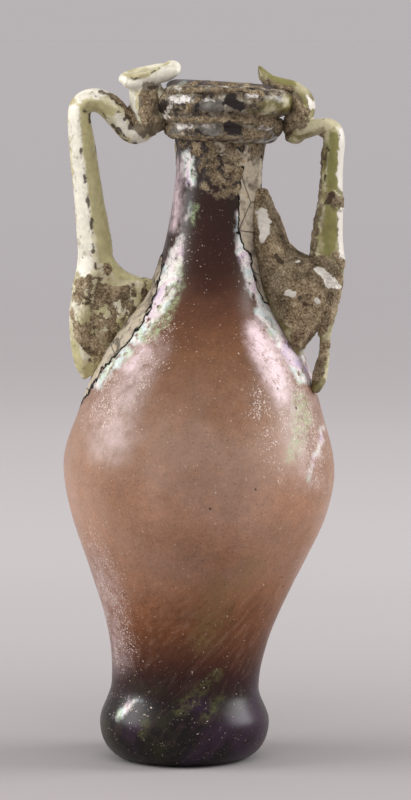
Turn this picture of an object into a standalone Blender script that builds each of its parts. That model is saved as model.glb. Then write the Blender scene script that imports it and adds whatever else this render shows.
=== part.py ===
"""Two-handled blown glass flask with a coil round its rim and two applied glass handles.

Every piece is shaped round an upright axis through the middle of the foot and then leaned, because
the real flask stands askew on its foot. Metres, +Z up, origin at the middle of the underside.
"""

import math

import bmesh
import bpy
from mathutils import Vector

# Blown flask: radii, and heights stacked up from the underside
UNDERSIDE_RADIUS = 0.0112
FOOT_RADIUS = 0.0169
UNDERSIDE_TO_FOOT_RING = 0.0073
WAIST_RADIUS = 0.0147
FOOT_RING_TO_WAIST = 0.0075
BELLY_RADIUS = 0.0269
WAIST_TO_BELLY = 0.0436
NECK_RADIUS = 0.0084
BELLY_TO_NECK = 0.0584
COLLAR_RADIUS = 0.0096
NECK_TO_COLLAR = 0.0112
RIM_RADIUS = 0.0116
COLLAR_TO_RIM_TOP = 0.0068
MOUTH_RADIUS = 0.0072
LIP_THICKNESS = 0.0030
BODY_WALL = 0.0018
NECK_WALL = 0.0022
FLOOR_THICKNESS = 0.0160
HOLLOW_END_HEIGHT = 0.0080

# Lean of the whole flask to the right, and the height over which it sets in above the foot ring
LEAN = math.radians(3.8)
LEAN_RUN_IN = 0.0150

# Coil round the rim
COIL_THICKNESS_LOW = 0.0040
COIL_THICKNESS_HIGH = 0.0050
COIL_END_THICKNESS = 0.0054
COIL_SINK = 0.0018
COIL_TURNS = 1.96
COIL_END_ANGLE = math.radians(-14.0)
COIL_DROP_LOW = 0.0096
COIL_DROP_HIGH = 0.0056
COIL_END_LIFT = 0.0024
COIL_END_FLARE = 0.0007
# Shares of the coil's run where it climbs behind the neck, and where its last lift, flare and knob set in
COIL_CLIMB_START = 0.42
COIL_CLIMB_END = 0.66
COIL_LIFT_START = 0.70
COIL_FLARE_START = 0.88
COIL_KNOB_START = 0.90

# Left handle
LEFT_TURN = math.radians(184.0)
LEFT_ROD_WIDTH = 0.0048
LEFT_ROD_DEPTH = 0.0056
LEFT_STRAP_REACH = 0.0282
LEFT_TIP_ABOVE_BELLY = 0.0168
LEFT_PAD_DEPTH = 0.0056
LEFT_PAD_TOP_ABOVE_BELLY = 0.0416
THUMB_REST_LENGTH = 0.0118
THUMB_REST_WIDTH = 0.0066
THUMB_REST_THICKNESS = 0.0031
THUMB_REST_BELOW_RIM = 0.0016
THUMB_REST_RISE = 0.0030
THUMB_REST_TILT = math.radians(30.0)

# Right handle
RIGHT_TURN = math.radians(-14.0)
RIGHT_ROD_WIDTH = 0.0040
RIGHT_ROD_DEPTH = 0.0052
RIGHT_STRAP_REACH = 0.0228
RIGHT_TIP_ABOVE_BELLY = 0.0176
RIGHT_PAD_DEPTH = 0.0100
RIGHT_PAD_TOP_ABOVE_BELLY = 0.0556
RIGHT_PAD_END_ABOVE_BELLY = 0.0235

# Fits: the clearance between neighbouring pieces, and how far an uncut handle runs into the flask
GAP = 0.0003
BITE = 0.0020

# Facets
TURNED_SEGMENTS = 36
COIL_SEGMENTS_PER_TURN = 24
COIL_SIDES = 10
ROD_SIDES = 11
PAD_SIDES = 16
ROWS_PER_SPAN = 2
ROUND_SECTION = 2.0
PAD_SECTION = 2.6
END_CAP_ANGLES = (math.radians(35.0), math.radians(65.0))
SMOOTH_ANGLE = math.radians(50.0)
MERGE_DISTANCE = 1e-6

FOOT_RING_Z = UNDERSIDE_TO_FOOT_RING
WAIST_Z = FOOT_RING_Z + FOOT_RING_TO_WAIST
BELLY_Z = WAIST_Z + WAIST_TO_BELLY
NECK_Z = BELLY_Z + BELLY_TO_NECK
COLLAR_Z = NECK_Z + NECK_TO_COLLAR
RIM_Z = COLLAR_Z + COLLAR_TO_RIM_TOP
LIP_Z = RIM_Z - LIP_THICKNESS / 2

# The shoulder's own sweep: share of the way up from belly to neck, share of the radius lost there
SHOULDER_SWEEP = ((0.21, 0.170), (0.39, 0.390), (0.62, 0.825), (0.80, 0.955))
# The lower body swells a little later than a plain ease would
LOWER_BODY_LAG = 1.07

# Line of the left handle from under the thumb rest to its tip: share of the way out from the limb
# to the strap, share of the drop from the rim to the tip, share of the rod's width
LEFT_LINE = (
    (-0.01, 0.045, 1.14),
    (-0.03, 0.100, 1.10),
    (-0.04, 0.145, 1.02),
    (0.03, 0.178, 0.98),
    (0.20, 0.182, 0.95),
    (0.38, 0.142, 1.00),
    (0.57, 0.102, 1.04),
    (0.76, 0.088, 1.00),
    (0.93, 0.099, 0.96),
    (1.00, 0.138, 0.96),
    (0.92, 0.243, 1.10),
    (0.80, 0.380, 1.20),
    (0.69, 0.500, 1.36),
    (0.62, 0.600, 1.45),
    (0.69, 0.695, 1.22),
    (0.74, 0.795, 1.16),
    (0.72, 0.890, 1.06),
    (0.68, 0.965, 0.75),
    (0.66, 1.000, 0.34),
)

# Line of the right handle from the beak's tip over the rim and down to its own tip
RIGHT_LINE = (
    (-1.04, -0.056, 0.24),
    (-0.93, -0.034, 0.50),
    (-0.72, -0.014, 0.60),
    (-0.42, -0.004, 0.66),
    (-0.12, 0.008, 0.80),
    (0.10, 0.038, 1.10),
    (0.14, 0.076, 1.24),
    (0.03, 0.114, 1.18),
    (0.02, 0.142, 1.00),
    (0.24, 0.142, 0.84),
    (0.56, 0.128, 0.82),
    (0.88, 0.128, 0.92),
    (1.00, 0.162, 1.05),
    (1.01, 0.265, 1.05),
    (1.03, 0.384, 1.25),
    (1.02, 0.504, 1.55),
    (1.06, 0.597, 1.70),
    (1.11, 0.694, 1.46),
    (1.12, 0.828, 0.76),
    (1.12, 0.906, 0.64),
    (1.06, 0.966, 0.70),
    (0.98, 1.000, 0.56),
)

# Each pad, top to bottom: share of the pad's height down from its top, shares of the way out from
# inside the flask's wall to the rod's own line of its inner and outer edges, share of its depth
LEFT_PAD = (
    (0.00, 0.78, 1.00, 0.75),
    (0.07, 0.70, 1.00, 0.80),
    (0.13, 0.56, 1.00, 0.85),
    (0.17, 0.38, 1.00, 0.90),
    (0.20, 0.18, 1.00, 0.92),
    (0.24, 0.00, 1.00, 0.94),
    (0.32, 0.00, 1.00, 0.97),
    (0.45, 0.00, 1.00, 1.00),
    (0.60, 0.00, 1.00, 1.00),
    (0.78, 0.00, 1.00, 0.90),
    (0.92, 0.00, 1.00, 0.65),
    (1.00, 0.00, 0.85, 0.30),
)
RIGHT_PAD = (
    (0.00, 0.00, 0.16, 0.40),
    (0.10, 0.00, 0.25, 0.66),
    (0.22, 0.00, 0.38, 0.84),
    (0.31, 0.00, 0.44, 0.92),
    (0.37, 0.00, 0.62, 0.96),
    (0.42, 0.00, 0.92, 0.98),
    (0.52, 0.00, 1.09, 1.00),
    (0.66, 0.00, 1.10, 1.00),
    (0.80, 0.00, 0.98, 0.92),
    (0.91, 0.00, 0.66, 0.75),
    (1.00, 0.00, 0.20, 0.40),
)

# How far the thumb rest reaches beyond the limb's middle and short of it, as shares of its length,
# and its sections: share of the way in, share of its rise, shares of its thickness and width
THUMB_REST_OUTWARD = 0.40
THUMB_REST_INWARD = 0.50
THUMB_REST = (
    (0.00, 0.00, 0.75, 0.65),
    (0.30, -0.05, 1.00, 1.00),
    (0.65, 0.45, 1.05, 0.95),
    (0.90, 1.00, 1.20, 0.72),
    (1.00, 1.12, 1.15, 0.62),
)


def ease(share):
    """Smooth step from 0 to 1."""
    share = min(max(share, 0.0), 1.0)
    return share * share * (3.0 - 2.0 * share)


def blend(start, end, share):
    return start + (end - start) * share


def between(value, low, high):
    """Share of the way that value has gone from low to high."""
    return (value - low) / (high - low)


def rounded_steps(knots, at):
    """Height at `at` on a curve through knots (x rising) that never overshoots them."""
    spans = [(b[0] - a[0], (b[1] - a[1]) / (b[0] - a[0])) for a, b in zip(knots, knots[1:])]
    slopes = [0.0]
    for (before, rise_before), (after, rise_after) in zip(spans, spans[1:]):
        if rise_before * rise_after <= 0.0:
            slopes.append(0.0)
            continue
        near, far = 2.0 * after + before, after + 2.0 * before
        slopes.append((near + far) / (near / rise_before + far / rise_after))
    slopes.append(0.0)
    index = 0
    while index < len(spans) - 1 and at > knots[index + 1][0]:
        index += 1
    width = spans[index][0]
    share = min(max((at - knots[index][0]) / width, 0.0), 1.0)
    low, high = knots[index][1], knots[index + 1][1]
    return (
        blend(low, high, ease(share))
        + width * slopes[index] * share * (1.0 - share) ** 2
        - width * slopes[index + 1] * share ** 2 * (1.0 - share)
    )


def shoulder_radius(height):
    sweep = ((0.0, 0.0),) + SHOULDER_SWEEP + ((1.0, 1.0),)
    lost = rounded_steps(sweep, between(height, BELLY_Z, NECK_Z))
    return blend(BELLY_RADIUS, NECK_RADIUS, lost)


def flask_radius(height):
    """Outer radius of the blown flask from the foot ring up to the middle of the lip."""
    if height < WAIST_Z:
        return blend(FOOT_RADIUS, WAIST_RADIUS, ease(between(height, FOOT_RING_Z, WAIST_Z)))
    if height < BELLY_Z:
        share = between(height, WAIST_Z, BELLY_Z) ** LOWER_BODY_LAG
        return blend(WAIST_RADIUS, BELLY_RADIUS, ease(share))
    if height < NECK_Z:
        return shoulder_radius(height)
    if height < COLLAR_Z:
        return blend(NECK_RADIUS, COLLAR_RADIUS, between(height, NECK_Z, COLLAR_Z) ** 2)
    return blend(COLLAR_RADIUS, RIM_RADIUS, between(height, COLLAR_Z, LIP_Z) ** 1.5)


def steps(start, end, count):
    """Evenly spaced values from start towards end, without the end."""
    return [blend(start, end, index / count) for index in range(count)]


def outer_profile():
    """Radius and height pairs up the outside, from the edge of the underside to the mouth."""
    points = []
    for angle in steps(0.0, math.pi / 2, 4):
        spread = (FOOT_RADIUS - UNDERSIDE_RADIUS) * math.sin(angle)
        points.append((UNDERSIDE_RADIUS + spread, FOOT_RING_Z * (1.0 - math.cos(angle))))
    heights = steps(FOOT_RING_Z, WAIST_Z, 3)
    heights += steps(WAIST_Z, BELLY_Z, 7)
    heights += steps(BELLY_Z, NECK_Z, 11)
    heights += steps(NECK_Z, COLLAR_Z, 2)
    heights += steps(COLLAR_Z, LIP_Z, 2)
    points += [(flask_radius(height), height) for height in heights]
    lip_middle = (RIM_RADIUS + MOUTH_RADIUS) / 2
    lip_half = (RIM_RADIUS - MOUTH_RADIUS) / 2
    for angle in steps(0.0, math.pi, 6):
        out, up = lip_half * math.cos(angle), LIP_THICKNESS / 2 * math.sin(angle)
        points.append((lip_middle + out, LIP_Z + up))
    return points


def hollow_radius(height):
    """Radius of the hollow: the outside less a wall that thickens up the neck."""
    wall = blend(BODY_WALL, NECK_WALL, ease(between(height, BELLY_Z, NECK_Z)))
    return flask_radius(height) - wall


def hollow_profile():
    """Radius and height pairs down the inside, from the mouth to the bottom of the hollow."""
    end_top = FLOOR_THICKNESS + HOLLOW_END_HEIGHT
    heights = steps(COLLAR_Z, NECK_Z, 2)
    heights += steps(NECK_Z, BELLY_Z, 8)
    heights += steps(BELLY_Z, end_top, 4)
    points = [(MOUTH_RADIUS, LIP_Z)]
    points += [(hollow_radius(height), height) for height in heights]
    end_radius = hollow_radius(end_top)
    for angle in steps(0.0, math.pi / 2, 4):
        points.append((end_radius * math.cos(angle), end_top - HOLLOW_END_HEIGHT * math.sin(angle)))
    points.append((0.0, FLOOR_THICKNESS))
    return points


def leaned(point):
    """Where a point of the upright flask comes to lie on the leaning one."""
    above = max(point.z - FOOT_RING_Z, 0.0)
    set_in = min(above / LEAN_RUN_IN, 1.0)
    climb = above - LEAN_RUN_IN * (set_in - set_in ** 2 / 2)
    slope = math.tan(LEAN)
    return Vector((point.x + slope * climb, point.y, point.z - slope * set_in * point.x))


def make_material(name, colour, roughness):
    material = bpy.data.materials.new(name)
    material.use_nodes = True
    shader = material.node_tree.nodes["Principled BSDF"]
    shader.inputs["Base Color"].default_value = (*colour, 1.0)
    shader.inputs["Roughness"].default_value = roughness
    shader.inputs["Metallic"].default_value = 0.0
    return material


def add_object(name, mesh_data, material):
    """Leans the shape and puts it in the scene. Flat triangles keep the Booleans clean."""
    for vertex in mesh_data.verts:
        vertex.co = leaned(vertex.co)
    bmesh.ops.recalc_face_normals(mesh_data, faces=mesh_data.faces)
    bmesh.ops.triangulate(mesh_data, faces=[face for face in mesh_data.faces if len(face.verts) == 4])
    mesh = bpy.data.meshes.new(name)
    mesh_data.to_mesh(mesh)
    mesh_data.free()
    mesh.shade_smooth()
    mesh.set_sharp_from_angle(angle=SMOOTH_ANGLE)
    body = bpy.data.objects.new(name, mesh)
    bpy.context.scene.collection.objects.link(body)
    if material:
        mesh.materials.append(material)
    return body


def turned(name, profile, material=None):
    """Solid turned round the axis from radius and height pairs; a ring off the axis gets a flat cap."""
    shape = bmesh.new()
    points = [shape.verts.new((radius, 0.0, height)) for radius, height in profile]
    edges = [shape.edges.new(pair) for pair in zip(points, points[1:])]
    bmesh.ops.spin(
        shape,
        geom=points + edges,
        axis=(0.0, 0.0, 1.0),
        cent=(0.0, 0.0, 0.0),
        angle=2.0 * math.pi,
        steps=TURNED_SEGMENTS,
        use_merge=True,
    )
    bmesh.ops.remove_doubles(shape, verts=shape.verts, dist=MERGE_DISTANCE)
    bmesh.ops.holes_fill(shape, edges=[edge for edge in shape.edges if edge.is_boundary])
    return add_object(name, shape, material)


def grown(profile, margin):
    """The profile moved out by a margin, square to its own run."""
    moved = []
    for index, (radius, height) in enumerate(profile):
        before = profile[max(index - 1, 0)]
        after = profile[min(index + 1, len(profile) - 1)]
        run = Vector((after[0] - before[0], after[1] - before[1])).normalized()
        moved.append((radius + margin * run.y, height - margin * run.x))
    return moved


def lofted(name, sections, sides, material=None, squareness=ROUND_SECTION):
    """Closed body through sections, each a middle and two half axes. More squareness fills the corners."""
    shape = bmesh.new()
    rings = []
    for middle, across, along in sections:
        ring = []
        for index in range(sides):
            angle = 2.0 * math.pi * index / sides
            out = math.copysign(abs(math.cos(angle)) ** (2.0 / squareness), math.cos(angle))
            side = math.copysign(abs(math.sin(angle)) ** (2.0 / squareness), math.sin(angle))
            ring.append(shape.verts.new(middle + across * out + along * side))
        rings.append(ring)
    for low, high in zip(rings, rings[1:]):
        for index in range(sides):
            after = (index + 1) % sides
            shape.faces.new((low[index], low[after], high[after], high[index]))
    shape.faces.new(rings[0])
    shape.faces.new(rings[-1])
    return add_object(name, shape, material)


def smooth_rows(rows, per_span=ROWS_PER_SPAN):
    """Rows of numbers read from one smooth curve through the given rows."""
    padded = [rows[0], *rows, rows[-1]]
    result = []
    for index in range(len(rows) - 1):
        window = padded[index : index + 4]
        for share in steps(0.0, 1.0, per_span):
            row = []
            for before, start, end, after in zip(*window):
                lift = (end - before) / 2 * share * (1.0 - share) ** 2
                fall = (after - start) / 2 * share ** 2 * (1.0 - share)
                row.append(blend(start, end, ease(share)) + lift - fall)
            result.append(tuple(row))
    result.append(tuple(rows[-1]))
    return result


def in_plane(turn, reach, height):
    """Point at a reach from the axis in the upright plane that `turn` points along."""
    return Vector((reach * math.cos(turn), reach * math.sin(turn), height))


def with_round_ends(sections):
    """Adds a half-round end to both ends of a run of sections."""

    def end(section, beyond):
        middle, across, along = section
        length = min(across.length, along.length)
        direction = (middle - beyond[0]).normalized()
        caps = []
        for angle in END_CAP_ANGLES:
            shrink = math.cos(angle)
            caps.append((middle + direction * length * math.sin(angle), across * shrink, along * shrink))
        return caps

    first = end(sections[0], sections[1])
    last = end(sections[-1], sections[-2])
    return [*reversed(first), *sections, *last]


def rod_sections(rows, turn):
    """Sections square to a line of reach, height, half width and half depth rows in one plane."""
    sections = []
    for index, (reach, height, half_width, half_depth) in enumerate(rows):
        before = rows[max(index - 1, 0)]
        after = rows[min(index + 1, len(rows) - 1)]
        run = Vector((after[0] - before[0], after[1] - before[1])).normalized()
        across = in_plane(turn, -run.y, run.x) * half_width
        along = Vector((-math.sin(turn), math.cos(turn), 0.0)) * half_depth
        sections.append((in_plane(turn, reach, height), across, along))
    return sections


def coil_climb(share):
    """How far the coil has climbed from its lower to its upper turn."""
    return ease(between(share, COIL_CLIMB_START, COIL_CLIMB_END))


def coil_middle_height(share):
    """Height of the coil's middle at a share of its run: level, up behind the neck, then rising."""
    height = RIM_Z - blend(COIL_DROP_LOW, COIL_DROP_HIGH, coil_climb(share))
    return height + COIL_END_LIFT * ease(between(share, COIL_LIFT_START, 1.0))


def coil_sections(margin=0.0):
    """Sections of the coil, or of a cutter that clears it by a margin."""
    count = round(COIL_TURNS * COIL_SEGMENTS_PER_TURN)
    sections = []
    for index in range(count + 1):
        share = index / count
        thickness = blend(COIL_THICKNESS_LOW, COIL_THICKNESS_HIGH, coil_climb(share))
        thickness = blend(thickness, COIL_END_THICKNESS, ease(between(share, COIL_KNOB_START, 1.0)))
        height = coil_middle_height(share)
        reach = flask_radius(height) + thickness / 2 - COIL_SINK
        reach += COIL_END_FLARE * ease(between(share, COIL_FLARE_START, 1.0))
        turn = COIL_END_ANGLE - 2.0 * math.pi * COIL_TURNS * (1.0 - share)
        half = thickness / 2 + margin
        sections.append((in_plane(turn, reach, height), in_plane(turn, half, 0.0), Vector((0.0, 0.0, half))))
    return with_round_ends(sections)


def coil_reach():
    """How far the upper turn of the coil stands out from the axis."""
    height = RIM_Z - COIL_DROP_HIGH
    return flask_radius(height) + COIL_THICKNESS_HIGH - COIL_SINK


def handle_rows(line, width, depth, strap_reach, tip_height):
    """A handle's line in real sizes: reach, height, half width and half depth."""
    limb = coil_reach() + width / 2
    rows = []
    for out, drop, share in line:
        reach = blend(limb, strap_reach, out)
        height = blend(RIM_Z, tip_height, drop)
        rows.append((reach, height, width / 2 * share, depth / 2 * min(share, 1.15)))
    return smooth_rows(rows)


def reach_at(rows, height):
    """Reach of the strap's line where its last downward run passes a height."""
    for high, low in zip(reversed(rows[:-1]), reversed(rows[1:])):
        if low[1] <= height <= high[1]:
            return blend(low[0], high[0], between(height, low[1], high[1]))
    return rows[-1][0]


def pad_sections(edge, rows, depth, top, bottom, turn):
    """Level sections of a pad that spreads from the handle's line into the flask's shoulder."""
    sections = []
    for drop, inner_share, outer_share, share in smooth_rows(edge):
        height = blend(top, bottom, drop)
        bitten, line = flask_radius(height) - BITE, reach_at(rows, height)
        inner, outer = blend(bitten, line, inner_share), blend(bitten, line, outer_share)
        along = Vector((-math.sin(turn), math.cos(turn), 0.0)) * depth / 2 * share
        middle = in_plane(turn, (outer + inner) / 2, height)
        sections.append((middle, in_plane(turn, (outer - inner) / 2, 0.0), along))
    return sections


def thumb_rest_sections():
    """The left handle's end, folded into a leaf that tilts towards the front and up over the rim."""
    limb = coil_reach() + LEFT_ROD_WIDTH / 2
    outer = limb + THUMB_REST_LENGTH * THUMB_REST_OUTWARD
    inner = limb - THUMB_REST_LENGTH * THUMB_REST_INWARD
    along = Vector((-math.sin(LEFT_TURN), math.cos(LEFT_TURN), 0.0)) * math.cos(THUMB_REST_TILT)
    along -= Vector((0.0, 0.0, math.sin(THUMB_REST_TILT)))
    rows = []
    for share, rise, thick, wide in THUMB_REST:
        height = RIM_Z - THUMB_REST_BELOW_RIM + THUMB_REST_RISE * rise
        rows.append((blend(outer, inner, share), height, thick, wide))
    sections = []
    for reach, height, thick, wide in smooth_rows(rows):
        across = Vector((0.0, 0.0, THUMB_REST_THICKNESS / 2 * thick))
        sections.append((in_plane(LEFT_TURN, reach, height), across, along * THUMB_REST_WIDTH / 2 * wide))
    return with_round_ends(sections)


def hide_tool(tool):
    """Marks a body that only cuts or joins others."""
    tool.hide_render = True
    tool.hide_set(True)
    tool.display_type = "WIRE"


def change(body, tool, operation, winding=False):
    """Joins or cuts a body with a tool. Set `winding` where one of them is a coil whose turns touch."""
    modifier = body.modifiers.new(f"{operation.lower()} {tool.name}", "BOOLEAN")
    modifier.operation = operation
    modifier.solver = "EXACT"
    modifier.use_self = winding
    modifier.object = tool
    hide_tool(tool)


def main():
    for old in list(bpy.data.objects):
        bpy.data.objects.remove(old)

    purple_glass = make_material("purple glass", (0.26, 0.14, 0.10), 0.25)
    coil_glass = make_material("weathered green glass", (0.20, 0.18, 0.14), 0.35)
    left_glass = make_material("pale yellow green glass", (0.66, 0.62, 0.42), 0.25)
    right_glass = make_material("olive green glass", (0.30, 0.27, 0.14), 0.30)

    turned("flask", outer_profile() + hollow_profile(), purple_glass)
    outside = grown(outer_profile(), GAP)
    flask_room = turned("room for the flask", [*outside, (0.0, LIP_Z)])

    coil = lofted("rim_coil", coil_sections(), COIL_SIDES, coil_glass)
    change(coil, flask_room, "DIFFERENCE", winding=True)
    coil_room = lofted("room for the coil", coil_sections(GAP), COIL_SIDES)

    left_rows = handle_rows(
        LEFT_LINE, LEFT_ROD_WIDTH, LEFT_ROD_DEPTH, LEFT_STRAP_REACH, BELLY_Z + LEFT_TIP_ABOVE_BELLY
    )
    left = lofted("left_handle", with_round_ends(rod_sections(left_rows, LEFT_TURN)), ROD_SIDES, left_glass)
    left_pad = pad_sections(
        LEFT_PAD,
        left_rows,
        LEFT_PAD_DEPTH,
        BELLY_Z + LEFT_PAD_TOP_ABOVE_BELLY,
        BELLY_Z + LEFT_TIP_ABOVE_BELLY,
        LEFT_TURN,
    )
    change(left, lofted("left pad", left_pad, PAD_SIDES, None, PAD_SECTION), "UNION")
    change(left, lofted("thumb rest", thumb_rest_sections(), ROD_SIDES), "UNION")
    change(left, flask_room, "DIFFERENCE")
    change(left, coil_room, "DIFFERENCE", winding=True)

    right_rows = handle_rows(
        RIGHT_LINE, RIGHT_ROD_WIDTH, RIGHT_ROD_DEPTH, RIGHT_STRAP_REACH, BELLY_Z + RIGHT_TIP_ABOVE_BELLY
    )
    right = lofted("right_handle", with_round_ends(rod_sections(right_rows, RIGHT_TURN)), ROD_SIDES, right_glass)
    right_pad = pad_sections(
        RIGHT_PAD,
        right_rows,
        RIGHT_PAD_DEPTH,
        BELLY_Z + RIGHT_PAD_TOP_ABOVE_BELLY,
        BELLY_Z + RIGHT_PAD_END_ABOVE_BELLY,
        RIGHT_TURN,
    )
    change(right, lofted("right pad", right_pad, PAD_SIDES, None, PAD_SECTION), "UNION")
    change(right, flask_room, "DIFFERENCE")
    change(right, coil_room, "DIFFERENCE", winding=True)


main()
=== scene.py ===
"""Finish of a two-handled blown glass flask, laid out as a Blender add-on and run as a script.

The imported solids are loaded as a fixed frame. A finer piece is modelled in the place of each one:
the blown flask, the coil round its rim and the two applied handles, with burial soil, weathering
crust and iridescent film. Pieces are shaped round an upright axis and then leaned as the solids are.
Metres, +Z up. The front faces -Y.
"""

import math

import bpy
import numpy as np
from bpy.props import FloatProperty, FloatVectorProperty, IntProperty, PointerProperty
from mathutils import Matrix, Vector, noise


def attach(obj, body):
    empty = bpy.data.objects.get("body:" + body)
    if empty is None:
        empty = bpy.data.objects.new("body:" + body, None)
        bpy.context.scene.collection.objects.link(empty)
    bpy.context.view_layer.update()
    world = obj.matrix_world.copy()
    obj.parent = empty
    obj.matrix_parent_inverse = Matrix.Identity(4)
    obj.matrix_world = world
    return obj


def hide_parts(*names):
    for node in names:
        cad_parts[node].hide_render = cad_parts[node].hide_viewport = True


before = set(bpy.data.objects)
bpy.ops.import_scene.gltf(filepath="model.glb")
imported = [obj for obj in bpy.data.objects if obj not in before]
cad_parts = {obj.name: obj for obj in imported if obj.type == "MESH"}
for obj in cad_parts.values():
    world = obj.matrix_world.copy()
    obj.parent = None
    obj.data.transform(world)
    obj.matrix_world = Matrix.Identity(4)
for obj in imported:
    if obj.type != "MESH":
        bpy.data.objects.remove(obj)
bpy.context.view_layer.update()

bl_info = {
    "name": "Two-handled glass flask",
    "version": (1, 0, 0),
    "blender": (4, 5, 0),
    "location": "3D View > Sidebar > Glass flask",
    "description": "Models a leaning blown glass flask with a rim coil and two applied handles",
    "category": "Add Mesh",
}

# The shoulder's own sweep: share of the way up from belly to neck, share of the radius lost there
SHOULDER_SWEEP = ((0.0, 0.0), (0.21, 0.170), (0.39, 0.390), (0.62, 0.825), (0.80, 0.955), (1.0, 1.0))
LOWER_BODY_LAG = 1.07

# Each handle's line: share of the way out from the limb to the strap, share of the drop from the
# rim to the tip, share of the rod's width
LEFT_LINE = (
    (0.00, 0.045, 1.42), (-0.02, 0.100, 1.36), (-0.03, 0.145, 1.16), (0.03, 0.178, 1.02),
    (0.20, 0.182, 0.95), (0.38, 0.142, 1.00), (0.57, 0.102, 1.04), (0.76, 0.088, 1.00),
    (0.93, 0.099, 0.96), (1.00, 0.138, 0.96), (0.92, 0.243, 1.10), (0.80, 0.380, 1.20),
    (0.69, 0.500, 1.36), (0.62, 0.600, 1.45), (0.69, 0.695, 1.22), (0.74, 0.795, 1.16),
    (0.72, 0.890, 1.06), (0.68, 0.965, 0.75), (0.66, 1.000, 0.34),
)
RIGHT_LINE = (
    (-1.04, -0.056, 0.24), (-0.93, -0.034, 0.50), (-0.72, -0.014, 0.60), (-0.42, -0.004, 0.66),
    (-0.12, 0.008, 0.80), (0.10, 0.038, 1.10), (0.14, 0.076, 1.24), (0.03, 0.114, 1.18),
    (0.02, 0.142, 1.00), (0.24, 0.142, 0.84), (0.56, 0.128, 0.82), (0.88, 0.128, 0.92),
    (1.00, 0.162, 1.05), (1.01, 0.265, 1.05), (1.03, 0.384, 1.25), (1.02, 0.504, 1.55),
    (1.06, 0.597, 1.70), (1.11, 0.694, 1.20), (1.12, 0.828, 0.52), (1.12, 0.906, 0.58),
    (1.06, 0.966, 0.70), (0.98, 1.000, 0.56),
)

# Which row of the right line stands at its limb, and rows drawn from one row of a line to the next
RIGHT_LIMB_ROW, ROWS_PER_SPAN = 6, 5

# Each pad, top to bottom: share of its height down from its top, shares of the way out from inside
# the flask's wall to the rod's own line of its inner and outer edges, share of its depth
LEFT_PAD = (
    (0.00, 0.78, 1.00, 0.75), (0.07, 0.70, 1.00, 0.80), (0.13, 0.56, 1.00, 0.85),
    (0.17, 0.38, 1.00, 0.90), (0.20, 0.18, 1.00, 0.92), (0.24, 0.00, 1.00, 0.94),
    (0.32, 0.00, 1.00, 0.97), (0.45, 0.00, 1.00, 1.00), (0.60, 0.00, 1.00, 1.00),
    (0.78, 0.00, 1.00, 0.90), (0.92, 0.00, 1.00, 0.65), (1.00, 0.00, 0.85, 0.30),
)
RIGHT_PAD = (
    (0.00, 0.00, 0.16, 0.40), (0.10, 0.00, 0.25, 0.66), (0.22, 0.00, 0.38, 0.84),
    (0.31, 0.00, 0.44, 0.92), (0.37, 0.00, 0.62, 0.96), (0.42, 0.00, 0.92, 0.98),
    (0.52, 0.00, 1.09, 1.00), (0.66, 0.00, 1.10, 1.00), (0.80, 0.00, 0.88, 0.92),
    (0.91, 0.00, 0.48, 0.75), (1.00, 0.00, 0.14, 0.40),
)

# Wound on with the coil, the thin end of its first turn and the soil that is packed round it: degrees
# round from the right, then millimetres out from the rim's radius, down from the rim's top, and half
# thickness
WINDINGS = {
    "strand": (
        (184.0, -0.2, 7.6, 0.8), (210.0, -0.1, 7.4, 0.7), (238.0, 0.0, 6.9, 0.5), (264.0, 0.0, 6.5, 0.25),
    ),
    "soil wedge": (
        (278.0, -0.5, 6.2, 0.25), (298.0, -0.4, 6.9, 0.9), (318.0, -0.4, 7.6, 1.4), (342.0, -0.5, 7.9, 1.7),
    ),
    "packed soil": (
        (170.0, -1.2, 7.6, 0.8), (205.0, -1.0, 7.5, 1.3), (250.0, -0.9, 7.3, 1.4), (300.0, -0.9, 7.4, 1.4),
        (352.0, -1.2, 7.6, 0.9),
    ),
    "rim soil": (
        (190.0, 0.3, 2.6, 0.4), (215.0, 0.5, 2.1, 0.9), (245.0, 0.7, 1.8, 1.0), (275.0, 0.7, 1.5, 1.0),
        (300.0, 0.6, 1.3, 0.8), (318.0, 0.4, 1.3, 0.4),
    ),
}

# Shares of the coil's run between which it climbs behind the neck, rises, flares and thickens to a knob
COIL_CLIMB, COIL_RISE, COIL_FLARE, COIL_KNOB = (0.42, 0.66), (0.70, 1.0), (0.88, 1.0), (0.90, 1.0)

# Lumps melted on to each handle, seen with its limb at the origin and the rim's top at height 0: middle
# and half sizes in metres, and degrees turned in the handle's plane
LEFT_LUMPS = {
    "ball": ((-0.0048, 0.0004, 0.0019), (0.0019, 0.0020, 0.0017), 16.0),
    "rolled edge": ((-0.0026, 0.0018, 0.0006), (0.0040, 0.0015, 0.0016), 17.0),
    "upper soil": ((-0.0024, 0.0002, -0.0046), (0.0022, 0.0022, 0.0030), 0.0),
    "lower soil": ((-0.0022, 0.0006, -0.0086), (0.0023, 0.0019, 0.0020), 0.0),
    "soil under the leaf": ((-0.0006, 0.0004, -0.0024), (0.0026, 0.0018, 0.0012), 0.0),
    "lip": ((0.0018, 0.0014, -0.0013), (0.0030, 0.0019, 0.0015), 8.0),
}
RIGHT_LUMPS = {
    "upper soil": ((-0.0018, 0.0, -0.0076), (0.0017, 0.0020, 0.0022), 0.0),
    "lower soil": ((-0.0012, 0.0, -0.0100), (0.0018, 0.0016, 0.0012), 0.0),
    "soil on the beak": ((-0.0048, 0.0, -0.0006), (0.0026, 0.0015, 0.0010), 0.0),
}

# Middle of the thumb rest's leaf, out from the left limb and up from the rim's top
LEAF_OUT, LEAF_UP = -0.0002, 0.0006

# Rings of faces up the flask, from foot to waist, belly, neck, collar and lip, round the foot and the
# lip, and down the inside to the neck, the belly and the hollow's rounded end, and round that end
OUTSIDE_RINGS, ROUND_RINGS = (16, 78, 130, 26, 12), 14
INSIDE_RINGS, HOLLOW_END_RINGS = (4, 22, 14), 8

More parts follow.
